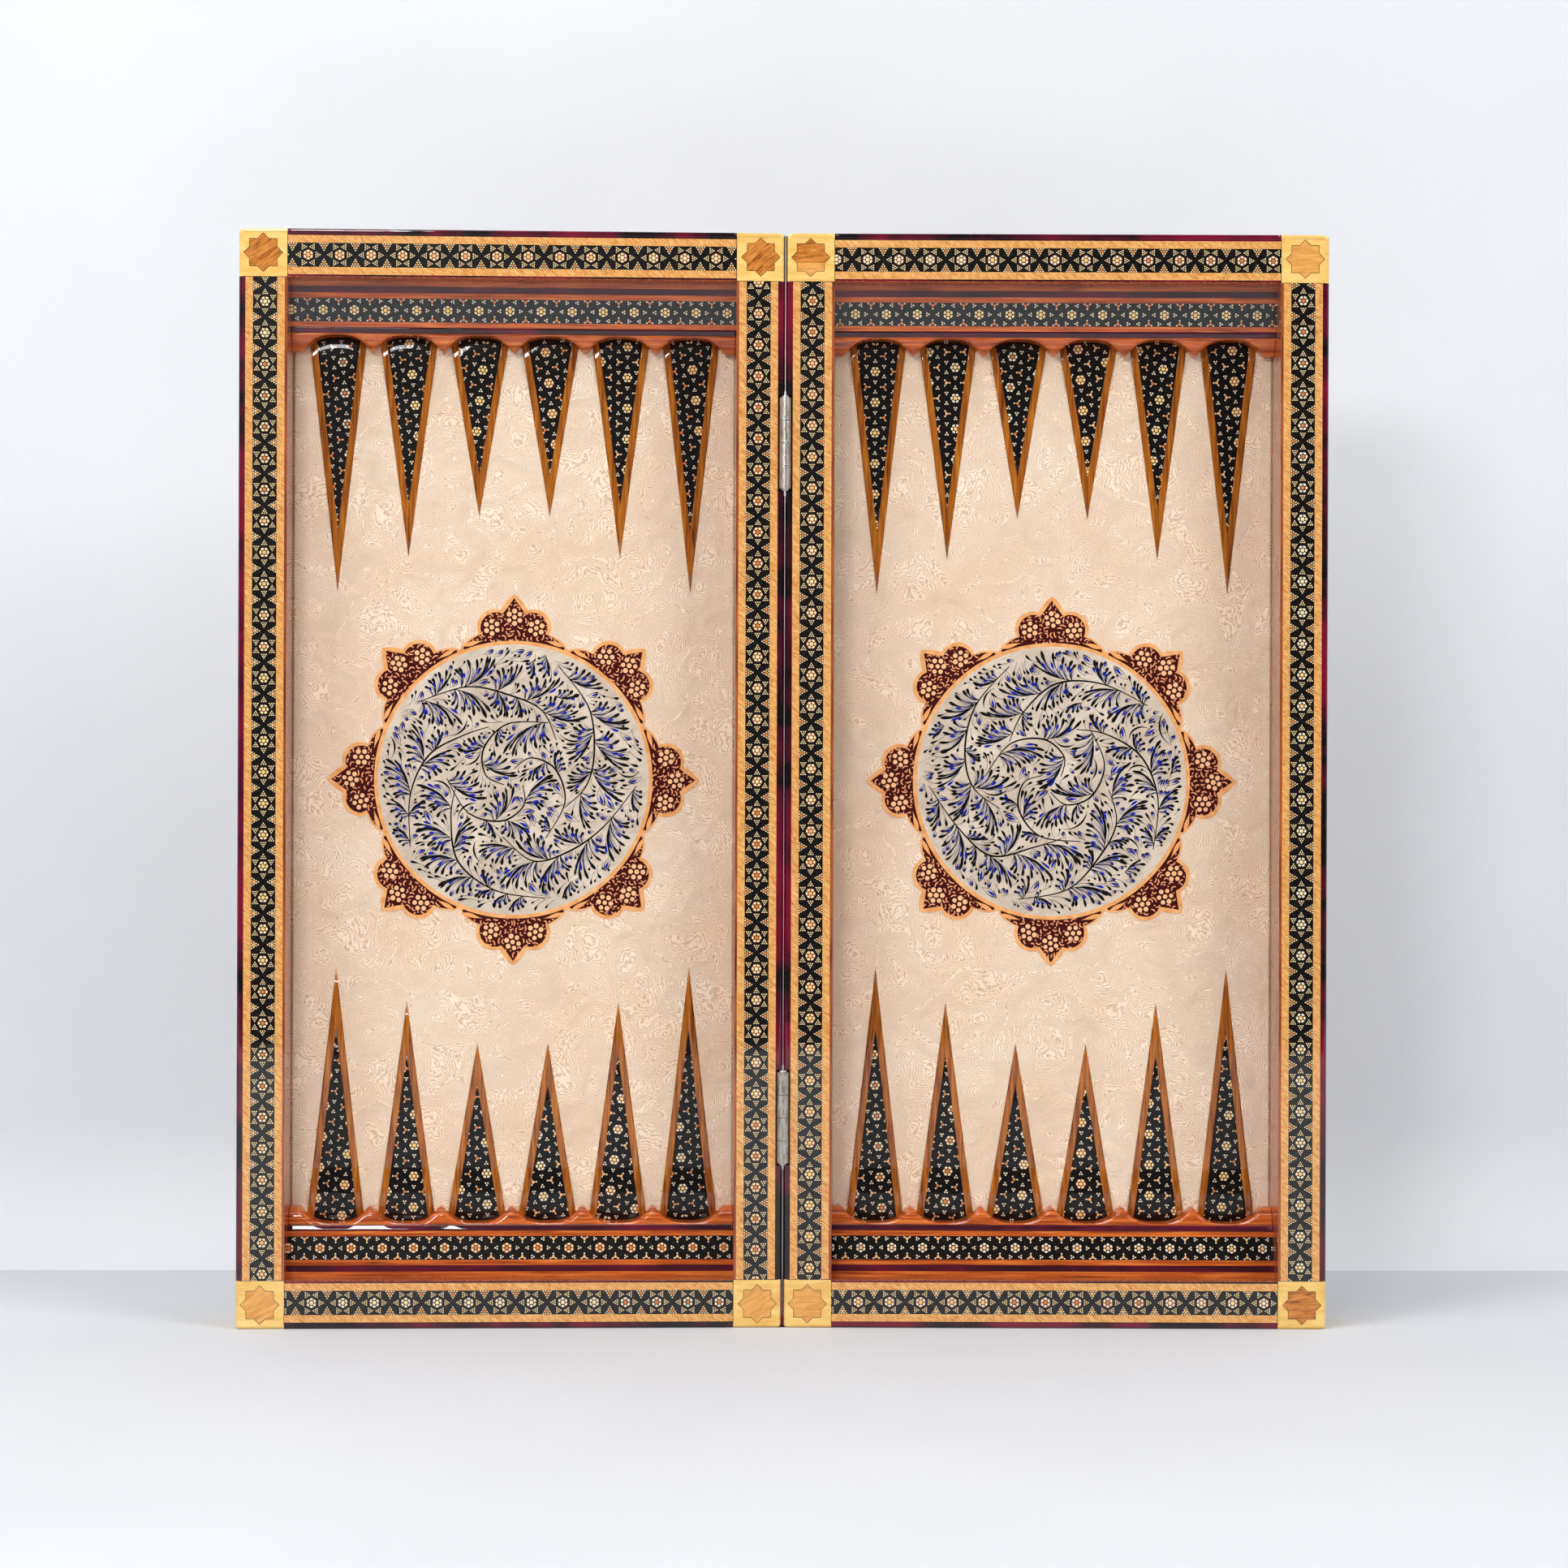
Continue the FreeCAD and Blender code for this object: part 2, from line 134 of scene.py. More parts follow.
def face_at(level):
    """Surface facing the front at a depth from the rim: (x, z, lift) to the tray's frame."""
    return lambda x, z, lift: (x, level - lift, z)


def back_at(level):
    return lambda x, z, lift: (-x, level + lift, z)


def slope(x, along, lift):
    """The bottom rest's slope: along is how far down it from the frame."""
    depth = REST_TOP + along * math.sin(SLOPE) - lift * math.cos(SLOPE)
    return (x, depth, FRAME + along * math.cos(SLOPE) + lift * math.sin(SLOPE))


def both_ends(surface):
    """A surface at the bottom of the tray, and the same one turned round at its top."""
    def at_top(x, z, lift):
        x, depth, z = surface(x, z, lift)
        return (-x, depth, HEIGHT - z)
    return (("bottom", surface), ("top", at_top))


def riding_mesh(name, side, points, faces, materials):
    """A mesh object, with its normals outward, that rides on a tray."""
    mesh = bpy.data.meshes.new(name)
    mesh.from_pydata(points, [], faces)
    for material in materials:
        mesh.materials.append(material)
    made = bmesh.new()
    made.from_mesh(mesh)
    bmesh.ops.recalc_face_normals(made, faces=made.faces)
    made.to_mesh(mesh)
    made.free()
    piece = bpy.data.objects.new(name, mesh)
    bpy.context.scene.collection.objects.link(piece)
    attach(piece, f"{TRAYS[side]}_tray")
    return piece


class Pieces:
    """Small closed pieces gathered in one mesh that rides on a tray, with one slot for each material."""

    def __init__(self, name, side, surface):
        self.name = name
        self.side = side
        self.surface = surface
        self.points = []
        self.faces = []
        self.kinds = []
        self.slots = []

    def place(self, u, v, lift):
        return to_world(self.side, *self.surface(u, v, lift))

    def slot_of(self, kind):
        if kind not in self.slots:
            self.slots.append(kind)
        return self.slots.index(kind)

    def face(self, corners, kind):
        self.faces.append(corners)
        self.kinds.append(self.slot_of(kind))

    def tile(self, outline, kind, lift=LIFT, sink=SINK):
        """A convex tile from its outline."""
        first, count = len(self.points), len(outline)
        self.points += [self.place(u, v, lift) for u, v in outline]
        self.points += [self.place(u, v, sink) for u, v in outline]
        self.face(list(range(first, first + count)), kind)
        self.face(list(range(first + 2 * count - 1, first + count - 1, -1)), kind)
        for k in range(count):
            n = (k + 1) % count
            self.face([first + n, first + k, first + count + k, first + count + n], kind)

    def ribbon(self, line, widths, kind, lift=LIFT, sink=SINK):
        """A stroke along a line of points, with its full width at each of them."""
        first, count = len(self.points), len(line)
        for k, (u, v) in enumerate(line):
            ahead, behind = line[min(k + 1, count - 1)], line[max(k - 1, 0)]
            du, dv = ahead[0] - behind[0], ahead[1] - behind[1]
            size = math.hypot(du, dv) or 1.0
            nu, nv = -dv / size * widths[k] / 2, du / size * widths[k] / 2
            self.points.append(self.place(u + nu, v + nv, lift))
            self.points.append(self.place(u - nu, v - nv, lift))
            self.points.append(self.place(u - nu, v - nv, sink))
            self.points.append(self.place(u + nu, v + nv, sink))
        for k in range(count - 1):
            a, b = first + 4 * k, first + 4 * k + 4
            for i in range(4):
                j = (i + 1) % 4
                self.face([a + i, a + j, b + j, b + i], kind)
        last = first + 4 * (count - 1)
        self.face([first + 3, first + 2, first + 1, first], kind)
        self.face([last, last + 1, last + 2, last + 3], kind)

    def build(self, palette):
        materials = [palette[kind] for kind in self.slots]
        piece = riding_mesh(self.name, self.side, self.points, self.faces, materials)
        piece.data.polygons.foreach_set("material_index", self.kinds)
        return piece


# ---- flat shapes ------------------------------------------------------------------------------------
def ngon(u, v, radius, count, turn=0.0):
    step = 2 * math.pi / count
    return [(u + radius * math.cos(turn + k * step), v + radius * math.sin(turn + k * step))
            for k in range(count)]


def oval(u, v, along, across, turn, count=8):
    outline = []
    for k in range(count):
        a = 2 * math.pi * (k + 0.5) / count
        x, y = along * math.cos(a), across * math.sin(a)
        outline.append((u + x * math.cos(turn) - y * math.sin(turn),
                        v + x * math.sin(turn) + y * math.cos(turn)))
    return outline


def clipped(outline, region):
    """What is left of a convex outline inside a convex region, both counter-clockwise."""
    for k, a in enumerate(region):
        b = region[(k + 1) % len(region)]
        inside = [(b[0] - a[0]) * (p[1] - a[1]) - (b[1] - a[1]) * (p[0] - a[0]) for p in outline]
        kept = []
        for i, p in enumerate(outline):
            j = (i + 1) % len(outline)
            if inside[i] >= 0:
                kept.append(p)
            if inside[i] * inside[j] < 0:
                t = inside[i] / (inside[i] - inside[j])
                q = outline[j]
                kept.append((p[0] + t * (q[0] - p[0]), p[1] + t * (q[1] - p[1])))
        outline = kept
        if len(outline) < 3:
            return []
    return outline


def area(outline):
    total = 0.0
    for i, p in enumerate(outline):
        q = outline[(i + 1) % len(outline)]
        total += p[0] * q[1] - q[0] * p[1]
    return abs(total) / 2


# ---- mosaic -----------------------------------------------------------------------------------------
def rosette(u, v, turn, colours):
    """Six petals round a middle, on a darker round: (kind, outline, level)."""
    yield colours["round"], ngon(u, v, ROSETTE, 12, turn), 0
    for k in range(6):
        a = turn + math.radians(60 * k + 30)
        at = (u + PETALS_AT * math.cos(a), v + PETALS_AT * math.sin(a))
        yield colours["petal"], oval(*at, 0.53, 0.76, a), 1
    yield colours["middle"], ngon(u, v, ROSETTE_SPOT, 8, turn), 1


def triangle_corners(u, v, radius, turn):
    return [(u + radius * math.cos(turn + k * 2.0944), v + radius * math.sin(turn + k * 2.0944))
            for k in range(3)]


def split_triangle(u, v, radius, turn, rows):
    """Middles of the upright small triangles when a triangle is cut in so many rows."""
    corners = triangle_corners(u, v, radius, turn)
    for i in range(rows):
        for j in range(rows - i):
            weights = [(n + 1 / 3) / rows for n in (i, j, rows - 1 - i - j)]
            yield (sum(w * c[0] for w, c in zip(weights, corners)),
                   sum(w * c[1] for w, c in zip(weights, corners)))


def tiled_triangle(u, v, radius, turn, kind):
    """Six small triangles in three rows, with dark lines between them."""
    for su, sv in split_triangle(u, v, radius, turn, 3):
        yield kind, triangle_corners(su, sv, radius / 3 * 0.84, turn), 0


def triad(u, v, reach, radius, turn, kind):
    for su, sv in triangle_corners(u, v, reach, turn):
        yield kind, ngon(su, sv, radius, 6, turn), 0


def edge_triangle(u, v, turn, colours):
    """A large triangle of three triads with a coloured one between them."""
    for su, sv in split_triangle(u, v, EDGE_TRIANGLE, turn, 2):
        yield from triad(su, sv, TRIAD_REACH, 0.36, turn, colours["dot"])
    yield colours["spot"], triangle_corners(u, v, 1.12, turn + math.pi), 0


def dotted_triangle(u, v, turn, colours):
    """A small coloured triangle with a dot beyond each of its corners."""
    yield colours["spot"], triangle_corners(u, v, 1.2, turn), 0
    for su, sv in triangle_corners(u, v, 1.5, turn):
        yield colours["dot"], ngon(su, sv, 0.4, 6, turn), 0


def framed_pattern(length, shift, colours):
    """The pattern of the frame's strips, along u from 0 to length and across v from -5.5 to 5.5."""
    count = int(length / PERIOD) + 2
    for k in range(-1, count):
        u = shift + k * PERIOD
        if k % 5 == 0:
            colours = dict(colours, middle=colours["middles"][k // 5 % len(colours["middles"])])
        yield from rosette(u, 0, 0, colours)
        for n in range(6):
            a = math.radians(60 * n)
            at = (u + TRIANGLES_AT * math.cos(a), TRIANGLES_AT * math.sin(a))
            yield from tiled_triangle(*at, TRIANGLE, a, colours["dot"])
        for way in (-1, 1):
            turn = -way * math.pi / 2
            yield from edge_triangle(u + PERIOD / 2, way * EDGE_AT, turn, colours)


def dotted_pattern(box, origin, turn, colours):
    """The pattern of the rests and the points: rosettes on a triangular lattice, over a box."""
    (u0, v0), (u1, v1) = box
    rise = PERIOD * math.sqrt(3) / 2
    reach = int(max(u1 - u0, v1 - v0) / rise) + 3
    for i in range(-reach, reach + 1):
        for j in range(-reach, reach + 1):
            lu, lv = (i + j / 2) * PERIOD, j * rise
            for kind, du, dv, extra in lattice_motifs():
                pu, pv = lu + du, lv + dv
                u = origin[0] + pu * math.cos(turn) - pv * math.sin(turn)
                v = origin[1] + pu * math.sin(turn) + pv * math.cos(turn)
                if not (u0 - 3 < u < u1 + 3 and v0 - 3 < v < v1 + 3):
                    continue
                if kind == "rosette":
                    yield from rosette(u, v, turn, colours)
                elif kind == "triad":
                    yield from triad(u, v, TRIAD_REACH, 0.4, turn + extra, colours["dot"])
                else:
                    yield from dotted_triangle(u, v, turn + extra, colours)


def lattice_motifs():
    """What stands at each rosette of the lattice: (kind, offset, turn)."""
    yield "rosette", 0.0, 0.0, 0.0
    for k in range(6):
        a = math.radians(60 * k)
        yield "triad", TRIADS_AT * math.cos(a), TRIADS_AT * math.sin(a), a
    far = PERIOD / math.sqrt(3)
    for a in (30, 90):
        a = math.radians(a)
        yield "dotted", far * math.cos(a), far * math.sin(a), a


def lay(pieces, pattern, region, to_surface):
    """Clips a pattern to a convex region and lays it on a surface."""
    for kind, outline, level in pattern:
        left = clipped(outline, region)
        if len(left) >= 3 and area(left) > 0.02:
            pieces.tile([to_surface(u, v) for u, v in left], kind, LIFT + 0.03 * level)


def strip_colours(dice, rich):
    """Colours of one strip: the middles and grounds of the rosettes differ from strip to strip."""
    middles = [dice.choice(("orange", "gold", "cream", "peach")) for _ in range(7)]
    if rich:
        ground = dice.choice(("rust", "rust", "black"))
    else:
        ground = dice.choice(("black", "rust"))
    return {"dot": "cream" if rich else "ivory",
            "petal": dice.choice(("ivory", "cream", "cream")),
            "round": ground,
            "middle": middles[0],
            "middles": middles,
            "spot": dice.choice(("orange", "peach", "orange", "tan"))}


def strip_region(length):
    half = MOSAIC / 2 - 0.12
    return [(0.0, -half), (length, -half), (length, half), (0.0, half)]


def face_mosaics(side, surface, name, dice):
    """Tiles of the four strips round a frame."""
    pieces = Pieces(f"{TRAYS[side]}_{name}", side, surface)
    at = BEAD + LINE + MOSAIC / 2
    tall, wide = HEIGHT - 2 * FRAME, 2 * FIELD
    for x in (-SIDE + at, SIDE - at):
        pattern = framed_pattern(tall, dice.uniform(0, PERIOD), strip_colours(dice, True))
        lay(pieces, pattern, strip_region(tall), lambda u, v: (x - v, FRAME + u))
    for z in (at, HEIGHT - at):
        pattern = framed_pattern(wide, dice.uniform(0, PERIOD), strip_colours(dice, True))
        lay(pieces, pattern, strip_region(wide), lambda u, v: (-FIELD + u, z + v))
    return pieces


def rest_mosaics(side, dice):
    start = sum(REST_LINES[:3])
    width = REST_LINES[3]
    made = []
    for end, surface in both_ends(slope):
        pieces = Pieces(f"{TRAYS[side]}_{end}_rest_tiles", side, surface)
        box = ((-FIELD, start), (FIELD, start + width))
        origin = (dice.uniform(0, PERIOD), start + width / 2)
        pattern = dotted_pattern(box, origin, 0.0, strip_colours(dice, False))
        (u0, v0), (u1, v1) = box
        region = [(u0, v0 + 0.1), (u1, v0 + 0.1), (u1, v1 - 0.1), (u0, v1 - 0.1)]
        lay(pieces, pattern, region, lambda u, v: (u, v))
        made.append(pieces)
    return made


def point_centres():
    return [PITCH * (k - (POINTS - 1) / 2) for k in range(POINTS)]


def point_shape(tip):
    """Slant of a point's sides and height of the tip of its mosaic."""
    slant = math.atan2(POINT_HALF, tip - LIP_END)
    return slant, tip - BORDER / math.sin(slant)


def swell(x, z):
    """How far the foot of a point is rounded up, at a place in the tray's frame."""
    centre = min(point_centres(), key=lambda c: abs(c - x))
    if z > LIP_END + SWELL_REACH or z < LIP_END - NOTCH_DEPTH:
        return 0.0
    ahead = min(math.hypot(x - centre - across, z - edge) for across, edge in NOTCH_LINE)
    rise = SWELL * (1 - (1 - min(ahead / SWELL_WIDTH, 1.0)) ** 2)
    far = min(max((z - LIP_END) / SWELL_REACH, 0.0), 1.0)
    return rise * (1 - far * far * (3 - 2 * far))


def notch_edge(away):
    """Where the visible lip ends, this far from the middle of a point: it rises to a peak between notches."""
    to_peak = PITCH / 2 - min(abs(away), PITCH / 2)
    away = PITCH / 2 - math.hypot(to_peak, PEAK_ROUND) + 0.3
    return LIP_END - NOTCH_DEPTH * (1 - (max(away, 0.0) / (PITCH / 2)) ** NOTCH_SHAPE)


NOTCH_LINE = [(u, notch_edge(u)) for u in np.linspace(-PITCH / 2, PITCH / 2, 41)]


def swollen_bed(x, z, lift):
    return (x, BED - PROUD - lift - swell(x, z), z)


def notch_half(z):
    """Half the width of a notch at a height, or a large width above the lip."""
    if z >= LIP_END - 0.6:
        return 100.0
    return PITCH / 2 * max(0.0, 1 - (LIP_END - z) / NOTCH_DEPTH) ** (1 / NOTCH_SHAPE)


def point_mosaics(side, dice):
    made = []
    for end, surface in both_ends(swollen_bed):
        pieces = Pieces(f"{TRAYS[side]}_{end}_point_tiles", side, surface)
        for x, tip in zip(point_centres(), POINT_TIPS):
            slant, core_tip = point_shape(tip)
            half = (core_tip - LIP_START) * math.tan(slant)
            region = [(x - half, LIP_START), (x + half, LIP_START), (x, core_tip)]
            origin = (x + dice.uniform(-5, 5), LIP_START + dice.uniform(0, PERIOD))
            turn = math.radians(90 + dice.uniform(-7, 7))
            box = ((x - half, LIP_START), (x + half, core_tip))
            colours = strip_colours(dice, False)
            colours["middle"] = dice.choice(("gold", "gold", "orange"))
            colours["petal"] = dice.choice(("cream", "ivory", "cream"))
            pattern = [tile for tile in dotted_pattern(box, origin, turn, colours)
                       if in_notch(tile[1], x)]
            lay(pieces, pattern, region, lambda u, v: (u, v))
        made.append(pieces)
    return made


def in_notch(outline, x):
    """Whether a tile stays clear of the lip."""
    return all(abs(u - x) < notch_half(v) - 0.15 for u, v in outline)


def corner_details(side, surface, name):
    """Dark glue lines round the stars and along the edges of the corner squares."""
    pieces = Pieces(f"{TRAYS[side]}_{name}", side, surface)
    at = SIDE - FRAME / 2
    for x in (-at, at):
        for z in (FRAME / 2, HEIGHT - FRAME / 2):
            outline = star_outline(x, z)
            outline.append(outline[0])
            for a, b in zip(outline, outline[1:]):
                pieces.ribbon([a, b], [0.22, 0.22], "ink", 0.03)
            toward_x = -math.copysign(FRAME / 2, x)
            toward_z = math.copysign(FRAME / 2, MIDDLE - z)
            corner = (x + toward_x, z + toward_z)
            pieces.ribbon([(x - toward_x * 0.85, corner[1]), corner], [0.25, 0.25], "ink", 0.02)
            pieces.ribbon([corner, (corner[0], z - toward_z * 0.85)], [0.25, 0.25], "ink", 0.02)
    return pieces


def star_outline(x, z):
    tip = STAR / 2
    notch = tip * math.cos(math.radians(45)) / math.cos(math.radians(22.5))
    outline = []
    for k in range(16):
        radius = tip if k % 2 == 0 else notch
        angle = math.radians(22.5 * k)
        outline.append((x + radius * math.cos(angle), z + radius * math.sin(angle)))
    return outline


# ---- painted medallions -----------------------------------------------------------------------------
def arc_through(a, b, c, count=8):
    """Points of the circle arc from a through b to c."""
    (ax, ay), (bx, by), (cx, cy) = a, b, c
    d = 2 * (ax * (by - cy) + bx * (cy - ay) + cx * (ay - by))
    a2, b2, c2 = ax * ax + ay * ay, bx * bx + by * by, cx * cx + cy * cy
    ox = (a2 * (by - cy) + b2 * (cy - ay) + c2 * (ay - by)) / d
    oy = (a2 * (cx - bx) + b2 * (ax - cx) + c2 * (bx - ax)) / d
    radius = math.hypot(ax - ox, ay - oy)
    first, middle, last = (math.atan2(p[1] - oy, p[0] - ox) for p in (a, b, c))
    sweep = (last - first) % (2 * math.pi)
    if (middle - first) % (2 * math.pi) > sweep:
        sweep -= 2 * math.pi
    angles = [first + sweep * k / count for k in range(count + 1)]
    return [(ox + radius * math.cos(a), oy + radius * math.sin(a)) for a in angles]


def ray_field():
    """Outline of the dark ground painted inside one ray, with the ray pointing up."""
    right = arc_through((0.0, 84.2), (2.3, 80.9), (5.3, 76.9), 4)
    right += arc_through((5.3, 76.9), (13.3, 75.6), (14.9, 67.3), 8)[1:]
    right += arc_through((14.9, 67.3), (20.4, 64.3), (23.5, 61.0), 5)[1:]
    ring = RING_OUTER + 0.15
    stop = math.atan2(23.5, 61.0)
    inner = [(ring * math.sin(a), ring * math.cos(a)) for a in np.linspace(stop, 0, 9)]
    right += inner
    left = [(-x, y) for x, y in reversed(right[1:-1])]
    return right + left


def inside(u, v, outline):
    found = False
    for i, (ax, ay) in enumerate(outline):
        bx, by = outline[i - 1]
        if (ay > v) != (by > v) and u < (bx - ax) * (v - ay) / (by - ay) + ax:
            found = not found
    return found


def bent_line(u, v, angle, length, bend, count):
    """Points of a line that leaves u, v at an angle and turns by bend along its length."""
    line = [(u, v)]
    for k in range(count):
        a = angle + bend * (k + 0.5) / count
        u += length / count * math.cos(a)
        v += length / count * math.sin(a)
        line.append((u, v))
    return line


class Drawing:
    """Strokes in millimetres round a middle, kept clear of each other and laid on a surface in turn."""

    def __init__(self, pieces, centre=(0.0, MIDDLE), size=1.0):
        self.pieces = pieces
        self.centre = centre
        self.size = size
        self.taken = {}

    def free(self, points, gap):
        for u, v in points:
            for i in range(int(u // 2) - 1, int(u // 2) + 2):
                for j in range(int(v // 2) - 1, int(v // 2) + 2):
                    for pu, pv in self.taken.get((i, j), ()):
                        if (pu - u) ** 2 + (pv - v) ** 2 < gap * gap:
                            return False
        return True

    def take(self, points):
        for u, v in points:
            self.taken.setdefault((int(u // 2), int(v // 2)), []).append((u, v))

    def world(self, points, turn=0.0):
        c, s = math.cos(turn) * self.size, math.sin(turn) * self.size
        return [(self.centre[0] + u * c - v * s, self.centre[1] + u * s + v * c) for u, v in points]

    def stroke(self, line, widths, kind, lift, turn=0.0):
        self.pieces.ribbon(self.world(line, turn), [w * self.size for w in widths], kind, lift)

    def fill(self, outline, kind, lift, turn=0.0):
        self.pieces.tile(self.world(outline, turn), kind, lift)


def comma_widths(count, root, head):
    """A brush stroke: thin along its body, with a round head at its tip."""
    widths = []
    for k in range(count + 1):
        t = k / count
        swell = min(max(0.0, (t - 0.5) / 0.34), 1.0)
        width = root + (head - root) * swell ** 1.8
        if t > 0.84:
            width *= math.sqrt(max(0.0, 1 - ((t - 0.84) / 0.17) ** 2))
        widths.append(max(width, 0.05))
    return widths


def drop_widths(count, head):
    return [max(0.05, head * math.sin(math.pi * (k / count) ** 1.5)) for k in range(count + 1)]


def drawn_ray(drawing, dice, turn):
    """Ground, flowers of round dots and small scrolls of one ray."""
    field = ray_field()
    drawing.fill(field, "ray_ground", GROUND_LIFT, turn)
    drawing.taken = {}
    for fu, fv in ((-10.3, 70.6), (0.2, 75.3), (10.3, 70.3)):
        spin = dice.uniform(0, 1)
        dots = [(fu, fv)]
        dots += [(fu + 2.85 * math.cos(spin + k * 1.0472), fv + 2.85 * math.sin(spin + k * 1.0472))
                 for k in range(6)]
        for u, v in dots:
            if inside(u, v, field):
                drawing.fill(ngon(u, v, dice.uniform(1.0, 1.2), 10), "peach", INK_LIFT, turn)
                drawing.take(ngon(u, v, 0.7, 6))
    for way in (-1, 1):
        angles = np.radians(np.linspace(12.4, 20.6, 8))
        leaf = [(way * 65.95 * math.sin(a), 65.95 * math.cos(a)) for a in angles]
        drawing.stroke(leaf, drop_widths(7, 2.0), "ray_line", LINE_LIFT, turn)
        drawing.take(leaf)
    for attempt in range(2000):
        u, v = dice.uniform(-21, 21), dice.uniform(64.5, 84)
        angle = dice.uniform(0.3, 1.3) + dice.choice((0, math.pi))
        length = dice.uniform(1.8, 3.4) if attempt < 1300 else dice.uniform(0.5, 1.4)
        line = bent_line(u, v, angle, length, dice.choice((-2.6, 2.6, -1.4, 1.4)), 5)
        if all(inside(a, b, field) for a, b in line) and drawing.free(line, 0.82):
            drawing.stroke(line, [0.42, 0.56, 0.64, 0.62, 0.56, 0.4], "scroll", LINE_LIFT, turn)
            drawing.take(line)


def smooth_line(points, count):
    """A smooth line through points."""
    ends = [points[0]] + list(points) + [points[-1]]
    line = []
    for k in range(len(points) - 1):
        p0, p1, p2, p3 = (np.array(p, float) for p in ends[k:k + 4])
        for n in range(count):
            t = n / count
            q = 0.5 * (2 * p1 + (p2 - p0) * t + (2 * p0 - 5 * p1 + 4 * p2 - p3) * t * t
                       + (3 * p1 - p0 - 3 * p2 + p3) * t ** 3)
            line.append((float(q[0]), float(q[1])))
    line.append(points[-1])
    return line


def garden_stems(dice, hand):
    """Stems of the painted garden: an outer round of them one way and an inner one the other way."""
    stems = []
    start = dice.uniform(0, 60)
    for k in range(5):
        angles = np.radians(start + 72 * k + np.linspace(0, 98, 5))
        radii = [57, 50 + dice.uniform(-3, 3), 43 + dice.uniform(-4, 4), 35 + dice.uniform(-4, 4), 27]
        stems.append([(hand * r * math.cos(a), r * math.sin(a)) for a, r in zip(angles, radii)])
    start = dice.uniform(0, 60)
    for k in range(3):
        angles = np.radians(start + 120 * k - np.linspace(0, 150, 5))
        radii = [31, 26, 20, 13, 5]
        stems.append([(hand * r * math.cos(a), r * math.sin(a)) for a, r in zip(angles, radii)])
    return [smooth_line(s, 8) for s in stems]


def within(line, reach):
    return all(u * u + v * v < reach * reach for u, v in line)


def comma(drawing, u, v, angle, length, bend, head, gap, kind="ink"):
    line = bent_line(u, v, angle, length, bend, 9)
    if not within(line, DISC_REACH) or not drawing.free(line[4:], gap):
        return False
    drawing.stroke(line, comma_widths(9, 0.15, head), kind, INK_LIFT)
    drawing.take(line[3:])
    return True


def petal(drawing, u, v, angle, length, bend, gap):
    """A blue drop in a thin outline with a heavy tip."""
    middle = bent_line(u, v, angle, length, bend, 9)
    if not within(middle, DISC_REACH - 0.1) or not drawing.free(middle[3:], gap):
        return False
    normal = (-math.sin(angle + bend / 2), math.cos(angle + bend / 2))
    for way in (-1, 1):
        edge = []
        for k, (a, b) in enumerate(middle):
            out = way * (0.35 + 0.11 * length) * math.sin(math.pi * (k / 9) ** 1.2)
            edge.append((a + normal[0] * out, b + normal[1] * out))
        drawing.stroke(edge, [0.12, 0.13, 0.15, 0.18, 0.22, 0.28, 0.36, 0.5, 0.5, 0.2], "ink", INK_LIFT)
    drawing.stroke(middle[3:9], drop_widths(5, 0.5 + 0.09 * length), "blue", LINE_LIFT)
    drawing.take(middle)
    return True


def frond(drawing, dice, u, v, angle, length, bend):
    """A large leaf: a bold outer edge, strokes with round heads that fan out, and blue drops between them."""
    way = math.copysign(1, bend)
    spine = bent_line(u, v, angle, length, bend, 12)
    count = 3 + int(length / 6)
    fan = []
    for k in range(count):
        t = (k + 0.8) / count
        root = spine[int(4.5 * (1 - t))]
        reach = length * (0.92 - 0.5 * t) * dice.uniform(0.9, 1.08)
        fan.append((root, angle + way * (0.05 + 0.95 * t), reach, way * (0.7 + 0.7 * t)))
    lines = [bent_line(*root, lean, reach, curl, 12) for root, lean, reach, curl in fan]
    for line in [spine] + lines:
        if not within(line, DISC_REACH):
            return False
    if not all(drawing.free(line[5:], 1.1) for line in [spine] + lines):
        return False
    edge = [0.3, 0.32, 0.38, 0.5, 0.7, 0.95, 1.1, 1.15, 1.0, 0.8, 0.7, 1.2, 0.3]
    drawing.stroke(spine, edge, "ink", INK_LIFT)
    for line, (root, lean, reach, curl) in zip(lines, fan):
        drawing.stroke(line, comma_widths(12, 0.36, dice.uniform(1.25, 1.65)), "ink", INK_LIFT)
        drop = bent_line(root[0], root[1], lean - way * 0.17, reach * 0.9, curl, 12)
        if dice.random() < 0.75:
            drawing.stroke(drop[6:11], drop_widths(4, 1.3), "blue", LINE_LIFT)
        for shift in (0.05, 0.1, 0.16, -0.05, -0.1, -0.22):
            thin = bent_line(root[0], root[1], lean - way * shift, reach * dice.uniform(0.5, 0.9), curl, 6)
            if within(thin, DISC_REACH - 0.2):
                drawing.stroke(thin, [0.1, 0.15, 0.16, 0.15, 0.12, 0.08, 0.05], "pale_blue", THIN_LIFT)
    for line in [spine] + lines:
        drawing.take(line[3:])
    return True


def hook(drawing, u, v, angle, length, bend):
    """A long bold curve, thickest in its middle."""
    line = bent_line(u, v, angle, length, bend, 16)
    if not within(line, DISC_REACH - 0.1) or not drawing.free(line[2:], 1.0):
        return False
    widths = [0.15 + 0.75 * math.sin(math.pi * (k / 16) ** 1.3) ** 1.5 for k in range(17)]
    drawing.stroke(line, widths, "ink", INK_LIFT)
    drawing.take(line)
    return True


